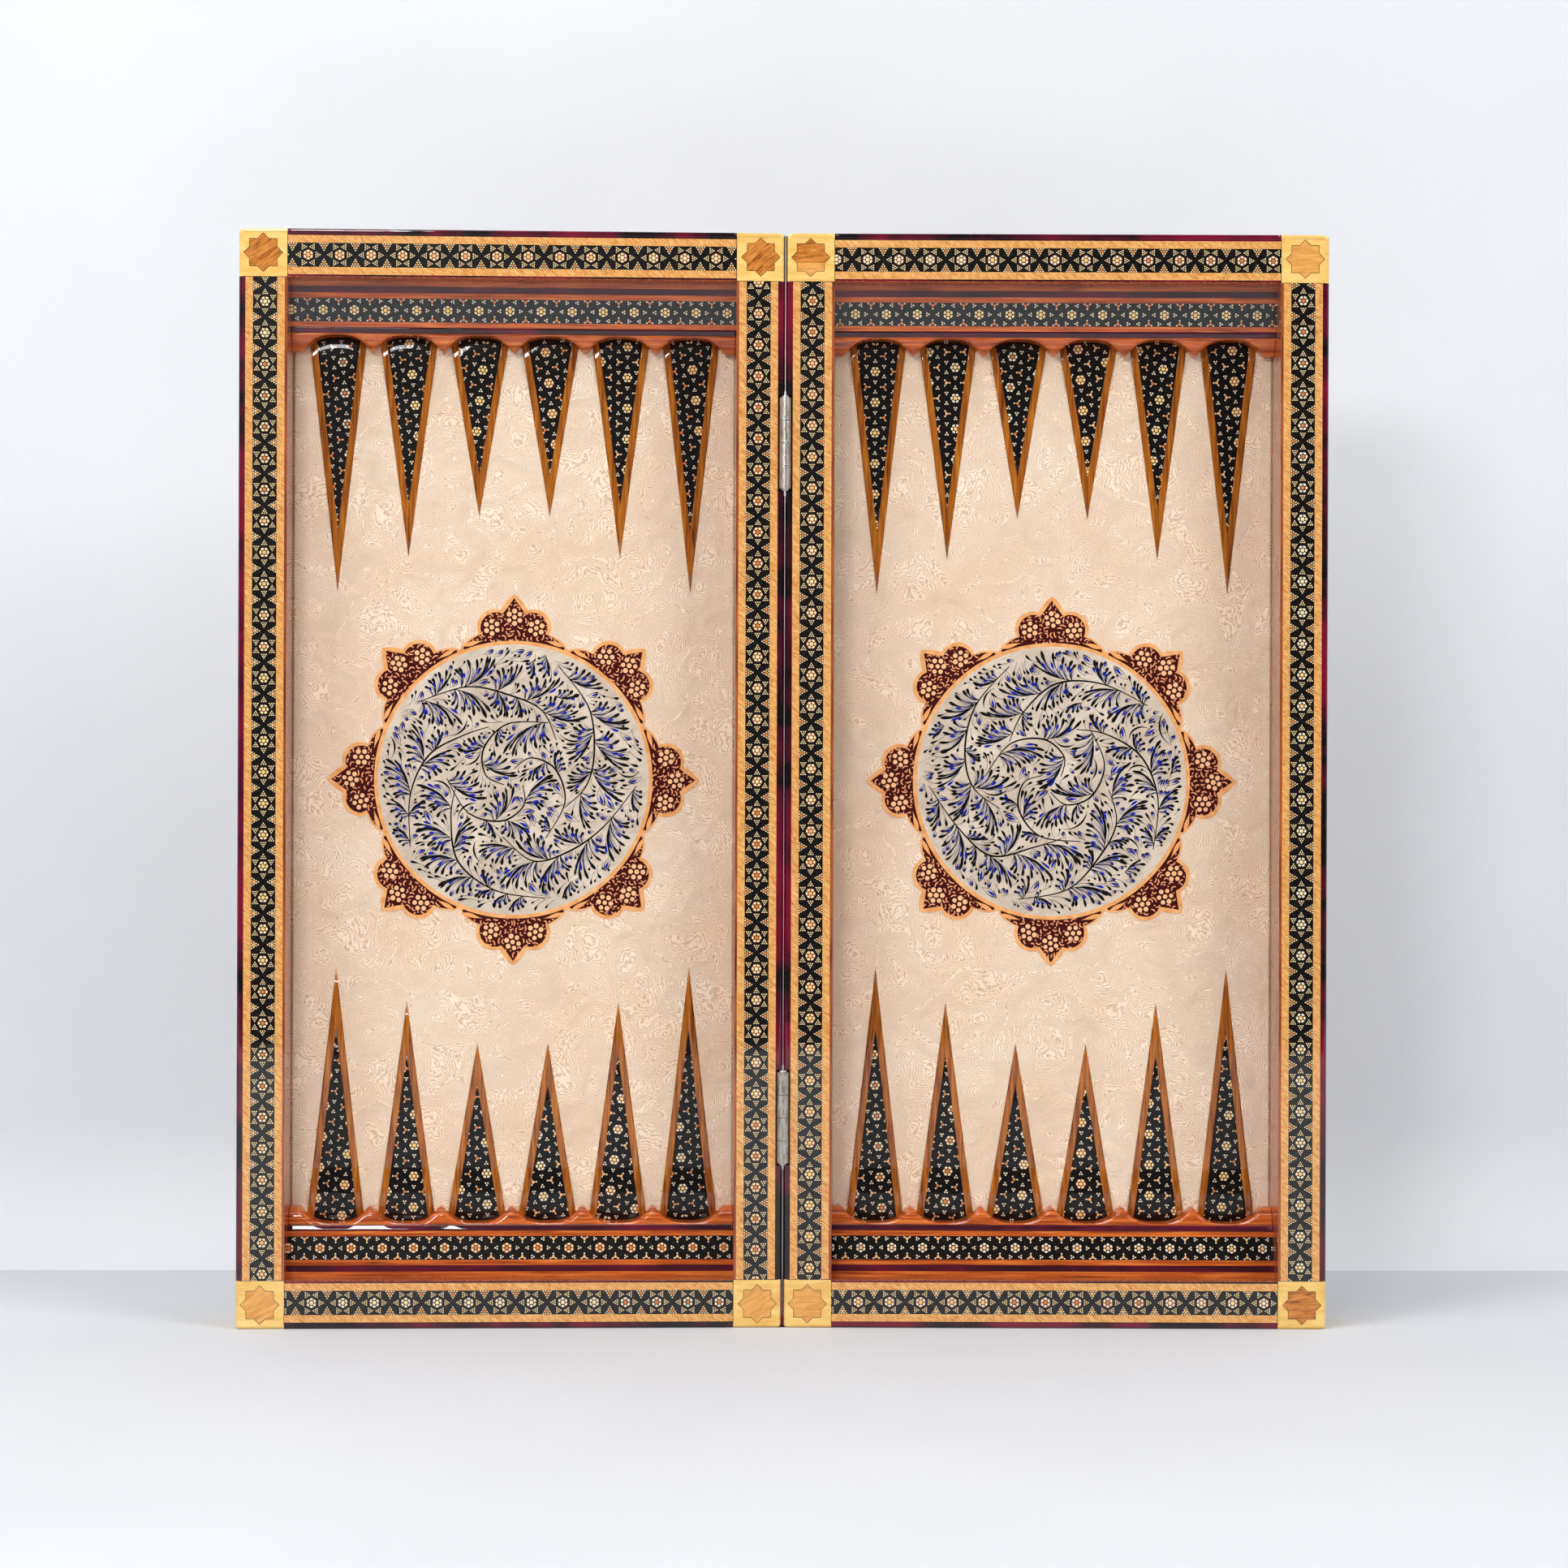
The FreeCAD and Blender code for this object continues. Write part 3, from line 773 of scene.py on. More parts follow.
def garden(drawing, dice, hand):
    """The drawing of one disc: stems, fronds along them, and strokes that fill what is left."""
    stems = garden_stems(dice, hand)
    flow = []
    for stem in stems:
        count = len(stem)
        widths = [0.4 + 0.45 * math.sin(math.pi * k / (count - 1)) ** 2 for k in range(count)]
        drawing.stroke(stem, widths, "ink", INK_LIFT)
        drawing.take(stem)
        for a, b in zip(stem, stem[1:]):
            flow.append((a[0], a[1], math.atan2(b[1] - a[1], b[0] - a[0])))
    flow = np.array(flow)
    for reach_low, reach_high in ((17, 22), (13, 17), (9, 12)):
        for stem in stems:
            for k in range(1, len(stem) - 2):
                (au, av), (bu, bv) = stem[k], stem[k + 1]
                along = math.atan2(bv - av, bu - au)
                for way in (1, -1):
                    frond(drawing, dice, au, av, along + way * dice.uniform(0.1, 0.7),
                          dice.uniform(reach_low, reach_high), way * dice.uniform(0.5, 1.4))
    stages = ((900, 8, 13, 1.2, 1.2), (2800, 6, 11, 1.4, 0.95), (4200, 3, 6, 1.25, 0.85))
    for stage, (attempts, low, high, head, gap) in enumerate(stages):
        for _ in range(attempts):
            reach, turn = 60 * math.sqrt(dice.random()), dice.uniform(0, 2 * math.pi)
            u, v = reach * math.cos(turn), reach * math.sin(turn)
            fu, fv, along = flow[np.argmin((flow[:, 0] - u) ** 2 + (flow[:, 1] - v) ** 2)]
            offset = (u - fu) * math.sin(along) - (v - fv) * math.cos(along)
            way = -math.copysign(1, offset)
            angle = along + way * dice.uniform(0.0, 0.9)
            length, bend = dice.uniform(low, high), way * dice.uniform(0.3, 1.3)
            if stage == 0 and dice.random() < 0.4:
                hook(drawing, u, v, angle - way * 0.6, length * 1.4, bend + way)
            elif stage == 0:
                frond(drawing, dice, u, v, angle, length, bend)
            elif dice.random() < 0.45:
                petal(drawing, u, v, angle, length * 0.9, bend, gap + 0.2)
            else:
                comma(drawing, u, v, angle, length, bend, head * dice.uniform(0.8, 1.1), gap)


def painted_medallion(side, surface, name, size, seed):
    """Rays and garden on one medallion, as two pieces."""
    dice = random.Random(seed)
    rays = Pieces(f"{TRAYS[side]}_{name}_ray_paint", side, surface)
    drawing = Drawing(rays, size=size)
    for k in range(8):
        drawn_ray(drawing, dice, math.radians(45 * k))
    art = Pieces(f"{TRAYS[side]}_{name}_garden", side, surface)
    garden(Drawing(art, size=size), dice, side)
    return [rays, art]


# ---- embossed leather -------------------------------------------------------------------------------
def scroll_lines(dice):
    """Loops and scrolls pressed in the leather, over the bed."""
    lines, middles = [], []
    for _ in range(4000):
        u, v = dice.uniform(-FIELD, FIELD), dice.uniform(LIP_START, HEIGHT - LIP_START)
        size = dice.uniform(7, 14)
        if any(math.hypot(u - a, v - b) < 0.86 * (size + other) for a, b, other in middles):
            continue
        middles.append((u, v, size))
        start, way = dice.uniform(0, 2 * math.pi), dice.choice((-1, 1))
        turns = dice.uniform(1.1, 1.7)
        for shrink in (1.0, 0.84):
            line = []
            for k in range(90):
                t = k / 89
                radius = size * shrink * (1 - 0.62 * t ** 1.3)
                angle = start + way * 2 * math.pi * turns * t
                line.append((u + radius * math.cos(angle), v + radius * 0.86 * math.sin(angle)))
            lines.append(line)
        tail = bent_line(line[0][0], line[0][1], start + way * 4.4, size * 1.3, way * 0.8, 40)
        lines.append(tail)
    return lines


def patch(side, surface, us, vs, height, under, follow=False):
    """Corners and faces of a closed body whose top is a grid of points (us, vs) lifted by height.

    Its underside is one flat face, or, with follow, a second grid under the first. Returns the corners,
    the faces, and how many of the faces are the top's, which come first."""
    rows, columns = height.shape
    flat = [(us[i, j], vs[i, j], height[i, j]) for i in range(rows) for j in range(columns)]
    edge = list(range(columns))
    edge += [i * columns + columns - 1 for i in range(1, rows)]
    edge += [(rows - 1) * columns + j for j in range(columns - 2, -1, -1)]
    edge += [i * columns for i in range(rows - 2, 0, -1)]
    below = list(range(rows * columns)) if follow else edge
    at = {k: rows * columns + n for n, k in enumerate(below)}
    flat += [(flat[k][0], flat[k][1], under) for k in below]
    faces = []
    for i in range(rows - 1):
        for j in range(columns - 1):
            a = i * columns + j
            faces.append((a, a + 1, a + columns + 1, a + columns))
    upper = list(faces)
    for k, first in enumerate(edge):
        second = edge[(k + 1) % len(edge)]
        faces.append((second, first, at[first], at[second]))
    if follow:
        faces += [tuple(at[k] for k in reversed(face)) for face in upper]
    else:
        faces.append(tuple(at[k] for k in edge))
    return [to_world(side, *surface(*p)) for p in flat], faces, len(upper)


def curved_piece(name, side, patches, material):
    """One object made of closed bodies, each from patch, that rides on a tray."""
    points, faces, smooth = [], [], []
    for corners, sides, upper in patches:
        start = len(points)
        points += corners
        faces += [tuple(start + k for k in face) for face in sides]
        smooth += [k < upper for k in range(len(sides))]
    piece = riding_mesh(name, side, points, faces, [material])
    piece.data.polygons.foreach_set("use_smooth", smooth)
    return piece


def leather_bed(side, seed, material):
    """The leather as one sheet, with its scrolls and its slack standing up from it."""
    dice = random.Random(seed)
    low, high = LIP_START, HEIGHT - LIP_START
    columns, rows = 206, 412
    across = np.linspace(-FIELD, FIELD, columns)
    along = np.linspace(low, high, rows)
    step = across[1] - across[0]
    height = np.zeros((rows, columns))
    for line in scroll_lines(dice):
        for u, v in line:
            i, j = int((v - low) / step), int((u + FIELD) / step)
            rows_near = slice(max(i - 3, 0), max(min(i + 4, rows), 0))
            columns_near = slice(max(j - 3, 0), max(min(j + 4, columns), 0))
            dv = along[rows_near, None] - v
            du = across[None, columns_near] - u
            rise = SCROLL_RISE * np.exp(-(du * du + dv * dv) / 0.75)
            height[rows_near, columns_near] = np.maximum(height[rows_near, columns_near], rise)
    wave = np.random.default_rng(seed)
    for _ in range(14):
        a, b = wave.normal(0, 0.14, 2)
        height += 0.012 * np.sin(a * across[None, :] + b * along[:, None] + wave.uniform(0, 6.3))
    height = np.clip(height, -0.1, 0.27)
    height[[0, -1], :] = 0
    height[:, [0, -1]] = 0
    us, vs = np.meshgrid(across, along)
    name = TRAYS[side]
    sheet = curved_piece(f"{name}_embossed_leather", side,
                         [patch(side, face_at(BED), us, vs, height, -1.4)], material)
    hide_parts(f"{name}_bed_leather")


# ---- rounded lacquer at the lips and the points -----------------------------------------------------
def between(columns, left, right, zs):
    """A grid whose rows run from left(z) to right(z) at each z."""
    us = np.array([np.linspace(left(z), right(z), columns) for z in zs])
    vs = np.repeat(np.array(zs)[:, None], columns, axis=1)
    return us, vs


def point_feet(side, mosaic, border):
    """The visible skins of the points, rounded at their feet: mosaic ground between two borders."""
    for end, surface in both_ends(swollen_bed):
        grounds, borders = [], []
        for x, tip in zip(point_centres(), POINT_TIPS):
            slant, core_tip = point_shape(tip)

            def core(z):
                return max(min((core_tip - z) * math.tan(slant), notch_half(z) - 0.05), 0.0)

            def whole(z):
                return max(min((tip - z) * math.tan(slant) - 0.02, notch_half(z) - 0.05), 0.0)

            low, foot = LIP_END - NOTCH_DEPTH + 0.12, LIP_END + SWELL_REACH
            zs = list(np.linspace(low, foot, 34)) + list(np.linspace(foot, core_tip - 0.5, 6)[1:])
            us, vs = between(22, lambda z: x - core(z), lambda z: x + core(z), zs)
            grounds.append(patch(side, surface, us, vs, np.full(us.shape, SKIN_LIFT), SINK, follow=True))
            start = next(z for z in np.arange(low, foot, 0.05) if whole(z) - core(z) > 0.25)
            zs = list(np.linspace(start, foot, 30)) + list(np.linspace(foot, core_tip, 6)[1:])
            zs += list(np.linspace(core_tip, tip - 0.5, 4)[1:])
            for way in (-1, 1):
                us, vs = between(6, lambda z: x + way * core(z), lambda z: x + way * whole(z), zs)
                borders.append(patch(side, surface, us, vs, np.full(us.shape, SKIN_LIFT), SINK, follow=True))
        name = f"{TRAYS[side]}_{end}_point"
        curved_piece(f"{name}_grounds", side, grounds, mosaic)
        curved_piece(f"{name}_border_skins", side, borders, border)


def lip_depth(z):
    """Depth of the lip's plain surface."""
    knee = REST_LOW + LIP_FLAT * math.tan(SLOPE)
    if z < LIP_START + LIP_FLAT:
        return REST_LOW + (z - LIP_START) * math.tan(SLOPE)
    return knee + (z - LIP_START - LIP_FLAT) / (LIP_LENGTH - LIP_FLAT) * LIP_DROP


def lip_surface(x, z, lift):
    return (x, lip_depth(z) - lift, z)


def rounded_lips(side, material):
    """The scalloped lips with worn, lacquered edges."""
    def top(x):
        return notch_edge(min((x - c for c in point_centres()), key=abs))

    xs = np.linspace(-FIELD, FIELD, 361)
    rim = np.array([(x, top(x)) for x in np.linspace(-FIELD, FIELD, 1200)])
    rows = 14
    us = np.array([xs] * rows)
    tops = np.array([top(x) for x in xs])
    vs = LIP_START + (tops - LIP_START)[None, :] * (np.linspace(0, 1, rows) ** 0.8)[:, None]
    gap = np.min(np.hypot(us[:, :, None] - rim[:, 0], vs[:, :, None] - rim[:, 1]), axis=2)
    height = -0.9 * np.clip(1 - gap / 1.8, 0, 1) ** 2
    for end, surface in both_ends(lip_surface):
        name = f"{TRAYS[side]}_{end}_lip"
        lip = patch(side, surface, us, vs, height, 0.0)
        points = curved_piece(f"{name}_rounded", side, [lip], material)
        flatten_under(points, side)
        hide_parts(name)


def flatten_under(piece, side):
    """Sets the underside of a lip down on the bed."""
    mesh = piece.data
    under = mesh.polygons[len(mesh.polygons) - 1]
    back = Vector(to_world(side, 0, 1, 0)) - Vector(to_world(side, 0, 0, 0))
    for index in under.vertices:
        place = mesh.vertices[index].co
        mesh.vertices[index].co = place + back * (BED - depth_of(side, place))


def depth_of(side, place):
    """How far behind its tray's rim a place in the world is, in mm."""
    turn = side * math.radians(FOLD / 2)
    wx, wy = (place[0] - HINGE.x) * 1000, (place[1] - HINGE.y) * 1000
    return wx * math.sin(turn) + wy * math.cos(turn) - AXIS_FRONT


def line_beads(side, material):
    """The dark line above the lip, slightly rolled over under each notch."""
    start = sum(REST_LINES[:5]) + 0.05
    width = REST_LINES[5] - 0.1
    columns, rows = 409, 7
    us, vs = np.meshgrid(np.linspace(-FIELD, FIELD, columns), np.linspace(start, start + width, rows))
    roll = np.array([max(math.cos(math.pi * (x - min(point_centres(), key=lambda c: abs(c - x))) / PITCH), 0)
                     for x in us[0]])
    along = (vs - start) / width
    height = 0.04 + (0.1 + 0.24 * roll[None, :] ** 1.5) * (1 - along ** 1.3)
    height[0] = 0.03
    for end, surface in both_ends(slope):
        name = f"{TRAYS[side]}_{end}_line_bead"
        bead = patch(side, surface, us, vs, height, SINK)
        curved_piece(name, side, [bead], material)


def seam_face(side):
    """The side of a tray at the seam: (depth, z, lift) to the tray's frame."""
    return lambda depth, z, lift: (-side * (SIDE + lift), depth, z)


def seam_lacquer_and_shade(side, material):
    """Thick lacquer on both sides of the seam, between the hinges, with rolled front edges. It is maroon
    along its whole length, over the sides of the pale corner posts too, where its dark colour is painted
    shade that keeps the seam dark.
    """
    low, high = MIDDLE - HINGE_OFFSET, MIDDLE + HINGE_OFFSET
    depths = np.array([0.15, 0.25, 0.4, 0.6, 0.9, 1.4, 4.0, 8.0])
    roll = np.array([0.04, 0.14, 0.22, 0.27, 0.3, 0.31, 0.31, 0.3])
    spans = ((1.0, low - HINGE_CLEAR), (low + HINGE_CLEAR, high - HINGE_CLEAR),
             (high + HINGE_CLEAR, HEIGHT - 1.0))
    strips = []
    for first, last in spans:
        us, vs = np.meshgrid(depths, np.linspace(first, last, 60))
        strips.append(patch(side, seam_face(side), us, vs, roll * (1 + 0.05 * np.sin(vs / 9.0)), SINK))
    curved_piece(f"{TRAYS[side]}_seam_lacquer_and_shade", side, strips, material)


def edge_strip(side, left, right):
    """A swelling 2 mm wide along the top of the tray's face."""
    xs, zs = np.linspace(left + 0.05, right - 0.05, 120), np.linspace(HEIGHT - 2.0, HEIGHT - 0.05, 8)
    us, vs = np.meshgrid(xs, zs)
    across = (vs - vs[0, 0]) / (vs[-1, 0] - vs[0, 0])
    height = 0.01 + 0.1 * np.sin(math.pi * across) * (1 + 0.25 * np.sin(us / 7.0) * np.sin(us / 3.1))
    return patch(side, face_at(0.0), us, vs, height, SINK)


def rolled_edge(side, dark, pale):
    """The lacquer swells a little along the tray's top edge and catches the light."""
    name = f"{TRAYS[side]}_top_edge"
    rail = [edge_strip(side, -FIELD, FIELD)]
    corners = [edge_strip(side, -SIDE + 2.5, -FIELD), edge_strip(side, FIELD, SIDE - 2.5)]
    curved_piece(f"{name}_rail", side, rail, dark)
    curved_piece(f"{name}_corners", side, corners, pale)


# ---- materials --------------------------------------------------------------------------------------
def linear(colour):
    """A colour as screens show it, 0 to 255, as amounts of light."""
    parts = [c / 255 for c in colour]
    return tuple(c / 12.92 if c <= 0.04045 else ((c + 0.055) / 1.055) ** 2.4 for c in parts) + (1.0,)


def join(tree, socket, value):
    """Links a socket to another node's output, or sets it to a value."""
    if isinstance(value, bpy.types.NodeSocket):
        tree.links.new(value, socket)
    else:
        socket.default_value = value


class Finish:
    """A material and short ways to add to its nodes. Patterns are placed in millimetres."""

    def __init__(self, name, colour=(200, 200, 200), roughness=0.4, coat=0.0, coat_roughness=0.03,
                 metallic=0.0):
        self.material = bpy.data.materials.new(name)
        self.material.use_nodes = True
        self.tree = self.material.node_tree
        self.shader = self.tree.nodes["Principled BSDF"].inputs
        self.shader["Base Color"].default_value = linear(colour)
        self.shader["Roughness"].default_value = roughness
        self.shader["Coat Weight"].default_value = coat
        self.shader["Coat Roughness"].default_value = coat_roughness
        self.shader["Coat IOR"].default_value = 1.5
        self.shader["Specular IOR Level"].default_value = 0.5 if coat < 0.3 else 0.08
        self.shader["Metallic"].default_value = metallic
        self.place = self.tree.nodes.new("ShaderNodeTexCoord").outputs["Object"]

    def node(self, kind, settings=(), **inputs):
        made = self.tree.nodes.new(kind)
        for key, value in dict(settings).items():
            setattr(made, key, value)
        for key, value in inputs.items():
            join(self.tree, made.inputs[key.replace("_", " ")], value)
        return made

    def stretched(self, size, turn=(0, 0, 0)):
        """Coordinates for a pattern with features of this size, in mm: one number, or one for each axis."""
        sizes = size if isinstance(size, tuple) else (size,) * 3
        scale = tuple(1000 / s for s in sizes)
        turned = self.node("ShaderNodeMapping", {"vector_type": "POINT"}, Vector=self.place, Rotation=turn)
        return self.node("ShaderNodeMapping", {"vector_type": "POINT"}, Vector=turned.outputs[0],
                         Scale=scale).outputs[0]

    def noise(self, where, detail=4.0, roughness=0.55, distortion=0.0):
        return self.node("ShaderNodeTexNoise", Vector=where, Scale=1.0, Detail=detail, Roughness=roughness,
                         Distortion=distortion).outputs["Fac"]

    def math(self, operation, a, b=0.0, clamp=False):
        made = self.tree.nodes.new("ShaderNodeMath")
        made.operation = operation
        made.use_clamp = clamp
        for socket, value in zip(made.inputs, (a, b)):
            join(self.tree, socket, value)
        return made.outputs[0]

    def ramp(self, amount, stops):
        """A colour for each amount: stops are (position, colour)."""
        made = self.node("ShaderNodeValToRGB", Fac=amount)
        elements = made.color_ramp.elements
        while len(elements) < len(stops):
            elements.new(0.5)
        for element, (position, colour) in zip(elements, stops):
            element.position = position
            element.color = linear(colour)
        return made.outputs["Color"]

    def blend(self, amount, a, b, way="MIX"):
        made = self.tree.nodes.new("ShaderNodeMix")
        made.data_type = "RGBA"
        made.blend_type = way
        for socket, value in ((made.inputs[0], amount), (made.inputs[6], a), (made.inputs[7], b)):
            join(self.tree, socket, value)
        return made.outputs[2]

    def range(self, amount, low, high):
        return self.node("ShaderNodeMapRange", Value=amount, To_Min=low, To_Max=high).outputs[0]

    def bump(self, amount, height, onto=None):
        """Height in mm between the lowest and highest parts of the pattern."""
        made = self.node("ShaderNodeBump", Height=amount, Strength=1.0, Distance=height / 1000)
        if onto is not None:
            self.tree.links.new(onto, made.inputs["Normal"])
        return made.outputs[0]

    def set(self, **sockets):
        for key, value in sockets.items():
            self.tree.links.new(value, self.shader[key.replace("_", " ")])
        return self.material

    def lacquer_waves(self, height=0.02, size=9.0):
        """Slow waves in a thick clear lacquer."""
        waves = self.noise(self.stretched(size), detail=2.0)
        self.set(Coat_Normal=self.bump(waves, height))

    def inside(self, axis, middle, half):
        """1 where the place along an axis, in mm, is within half of the middle."""
        split = self.node("ShaderNodeSeparateXYZ", Vector=self.place).outputs[axis]
        away = self.math("ABSOLUTE", self.math("SUBTRACT", split, middle / 1000))
        return self.math("LESS_THAN", away, half / 1000)


def choose(finish, amount, a, b):
    """Coordinates a, or b where amount is 1."""
    made = finish.tree.nodes.new("ShaderNodeMix")
    made.data_type = "VECTOR"
    finish.tree.links.new(amount, made.inputs[0])
    finish.tree.links.new(a, made.inputs[4])
    finish.tree.links.new(b, made.inputs[5])
    return made.outputs[1]


def wood(name, tones, length=(60, 6, 2.2), turn=(0, 0, 0), coat=1.0, pores=0.35, waves=0.03):
    """Lacquered wood: tones from dark to light, and the size of its figure along x, y and z."""
    finish = Finish(name, roughness=0.45, coat=coat, coat_roughness=0.035)
    return grained(finish, tones, finish.stretched(length, turn), finish.stretched(
        tuple(v / (1.2 if v == max(length) else 6) for v in length), turn), pores, waves)


def grained(finish, tones, figure_at, fibre_at, pores, waves):
    figure = finish.noise(figure_at, detail=5.0, roughness=0.6, distortion=0.6)
    dark, middle, light = tones
    colour = finish.ramp(figure, [(0.3, dark), (0.5, middle), (0.7, light)])
    fibres = finish.noise(fibre_at, detail=3.0, roughness=0.7)
    lines = finish.ramp(fibres, [(0.3, (150, 120, 100)), (0.52, (255, 255, 255))])
    colour = finish.blend(pores, colour, lines, "MULTIPLY")
    finish.set(Base_Color=colour, Roughness=finish.range(fibres, 0.38, 0.6),
               Normal=finish.bump(fibres, 0.02))
    if waves:
        finish.lacquer_waves(waves)
    return finish.material


def boxwood_lines(name):
    """Light stringing whose figure is short and lies across its length, as in flamed maple."""
    finish = Finish(name, roughness=0.4, coat=1.0, coat_roughness=0.035)
    tones = ((206, 126, 62), (234, 170, 96), (246, 200, 134))
    flame_at = finish.stretched((0.8, 3.0, 3.4), (0, math.radians(52), 0))
    fibre_at = finish.stretched((0.35, 2.0, 1.8), (0, math.radians(52), 0))
    return grained(finish, tones, flame_at, fibre_at, 0.5, 0.03)


def lacquer(name, side):
    """Maroon lacquer that turns nearly black in long patches, and brown wood on the walls round the bed."""
    finish = Finish(name, roughness=0.35, coat=1.0, coat_roughness=0.03)
    patches = finish.noise(finish.stretched(38), detail=3.0, roughness=0.6)
    colour = finish.ramp(patches, [(0.42, (22, 8, 14)), (0.5, (74, 10, 30)), (0.62, (120, 12, 42))])
    wall = finish.math("MULTIPLY", finish.inside("X", side * CENTRE, FIELD + 1.6),
                       finish.inside("Z", MIDDLE, MIDDLE - FRAME + 0.4))
    streaks = finish.noise(finish.stretched((1.2, 1.2, 26)), detail=4.0)
    brown = finish.ramp(streaks, [(0.35, (110, 44, 24)), (0.65, (180, 92, 46))])
    finish.set(Base_Color=finish.blend(wall, colour, brown), Roughness=finish.range(patches, 0.3, 0.42))
    finish.lacquer_waves(0.02, 14.0)
    return finish.material


def ebony(name, coat=1.0):
    finish = Finish(name, roughness=0.35, coat=coat, coat_roughness=0.03)
    grain = finish.noise(finish.stretched(1.2), detail=3.0)
    finish.set(Base_Color=finish.ramp(grain, [(0.35, (10, 9, 9)), (0.7, (30, 24, 22))]),
               Roughness=finish.range(grain, 0.3, 0.45))
    finish.lacquer_waves(0.03, 11.0)
    return finish.material


def toothed(finish, size, detail, low, high, height):
    """Fine unevenness that runs through a finish's roughness and its surface."""
    tooth = finish.noise(finish.stretched(size), detail=detail)
    finish.set(Roughness=finish.range(tooth, low, high), Normal=finish.bump(tooth, height))
    return tooth


def chip(name, colour, roughness=0.4):
    """A tiny inlaid tile, one even colour with a fine tooth under the lacquer."""
    finish = Finish(name, colour, roughness, coat=1.0, coat_roughness=0.03)
    toothed(finish, 0.3, 2.0, roughness - 0.08, roughness + 0.08, 0.004)
    finish.lacquer_waves(0.03, 11.0)
    return finish.material


def paint(name, colour, roughness=0.5):
    finish = Finish(name, colour, roughness, coat=0.5, coat_roughness=0.12)
    toothed(finish, 0.6, 3.0, roughness - 0.1, roughness + 0.1, 0.01)
    return finish.material


def leather():
    """Cream leather with fine lines that swirl round as in a fingerprint."""
    finish = Finish("cream_leather", roughness=0.5, coat=0.2, coat_roughness=0.3)
    finish.shader["Specular IOR Level"].default_value = 0.2
    drift = finish.node("ShaderNodeTexNoise", Vector=finish.stretched(26), Scale=1.0, Detail=2.0)
    offset = finish.node("ShaderNodeVectorMath", {"operation": "SCALE"}, Vector=drift.outputs["Color"],
                         Scale=0.9)
    where = finish.tree.nodes.new("ShaderNodeVectorMath")
    finish.tree.links.new(finish.stretched((24, 1000, 24)), where.inputs[0])
    finish.tree.links.new(offset.outputs[0], where.inputs[1])
    cells = finish.node("ShaderNodeTexVoronoi", {"feature": "SMOOTH_F1"}, Vector=where.outputs[0], Scale=1.0,
                        Smoothness=0.12)
    rings = finish.math("MULTIPLY", cells.outputs["Distance"], 24 * 2 * math.pi / 0.62)
    jitter = finish.math("MULTIPLY", finish.noise(finish.stretched((1.6, 9, 1.6)), detail=1.0), 11.0)
    wave = finish.math("SINE", finish.math("ADD", rings, jitter))
    ridge = finish.node("ShaderNodeMapRange", Value=wave, From_Min=0.1, From_Max=0.9).outputs[0]
    broken = finish.noise(finish.stretched((1.1, 9, 1.1)), detail=2.0)
    lines = finish.math("MULTIPLY", ridge, finish.range(broken, 0.0, 1.9), clamp=True)
    patches = finish.noise(finish.stretched(46), detail=3.0)
    colour = finish.ramp(patches, [(0.3, (246, 219, 190)), (0.6, (252, 230, 205)), (0.8, (254, 236, 214))])
    colour = finish.blend(finish.range(lines, 0.0, 0.62), colour, linear((200, 150, 112)))
    finish.set(Base_Color=colour, Roughness=finish.range(lines, 0.42, 0.55),
               Normal=finish.bump(finish.math("SUBTRACT", 1.0, lines), 0.12))
    return finish.material


def painted_ground(name):
    """Greyish cream ground of the painted discs, with streaks as from a dry brush."""
    finish = Finish(name, roughness=0.45, coat=0.6, coat_roughness=0.08)
    streaks = finish.noise(finish.stretched((7, 7, 0.7), (0, math.radians(28), 0)), detail=6.0, roughness=0.7)
    clouds = finish.noise(finish.stretched(13), detail=3.0)
    colour = finish.ramp(clouds, [(0.35, (206, 188, 168)), (0.55, (220, 203, 183)), (0.75, (232, 217, 198))])
    dust = finish.ramp(streaks, [(0.3, (190, 188, 192)), (0.5, (255, 255, 255))])
    finish.set(Base_Color=finish.blend(0.55, colour, dust, "MULTIPLY"),
               Roughness=finish.range(streaks, 0.35, 0.55), Normal=finish.bump(streaks, 0.02))
    return finish.material


def orange_paint(name):
    finish = Finish(name, roughness=0.5, coat=0.4, coat_roughness=0.1)
    clouds = toothed(finish, 4, 4.0, 0.42, 0.58, 0.01)
    tones = [(0.3, (226, 150, 88)), (0.55, (242, 176, 112)), (0.8, (250, 196, 138))]
    return finish.set(Base_Color=finish.ramp(clouds, tones))


def old_steel(name):
    """Worn bare metal, with brown stain along it."""
    finish = Finish(name, roughness=0.35, metallic=0.9)
    rub = finish.noise(finish.stretched((1.6, 1.6, 7)), detail=6.0, roughness=0.75)
    scale = finish.noise(finish.stretched((0.7, 0.7, 0.9)), detail=4.0)
    colour = finish.ramp(rub, [(0.32, (128, 112, 92)), (0.5, (196, 190, 180)), (0.68, (232, 230, 226))])
    finish.set(Base_Color=colour, Roughness=finish.range(rub, 0.42, 0.22), Normal=finish.bump(scale, 0.12))
    return finish.material


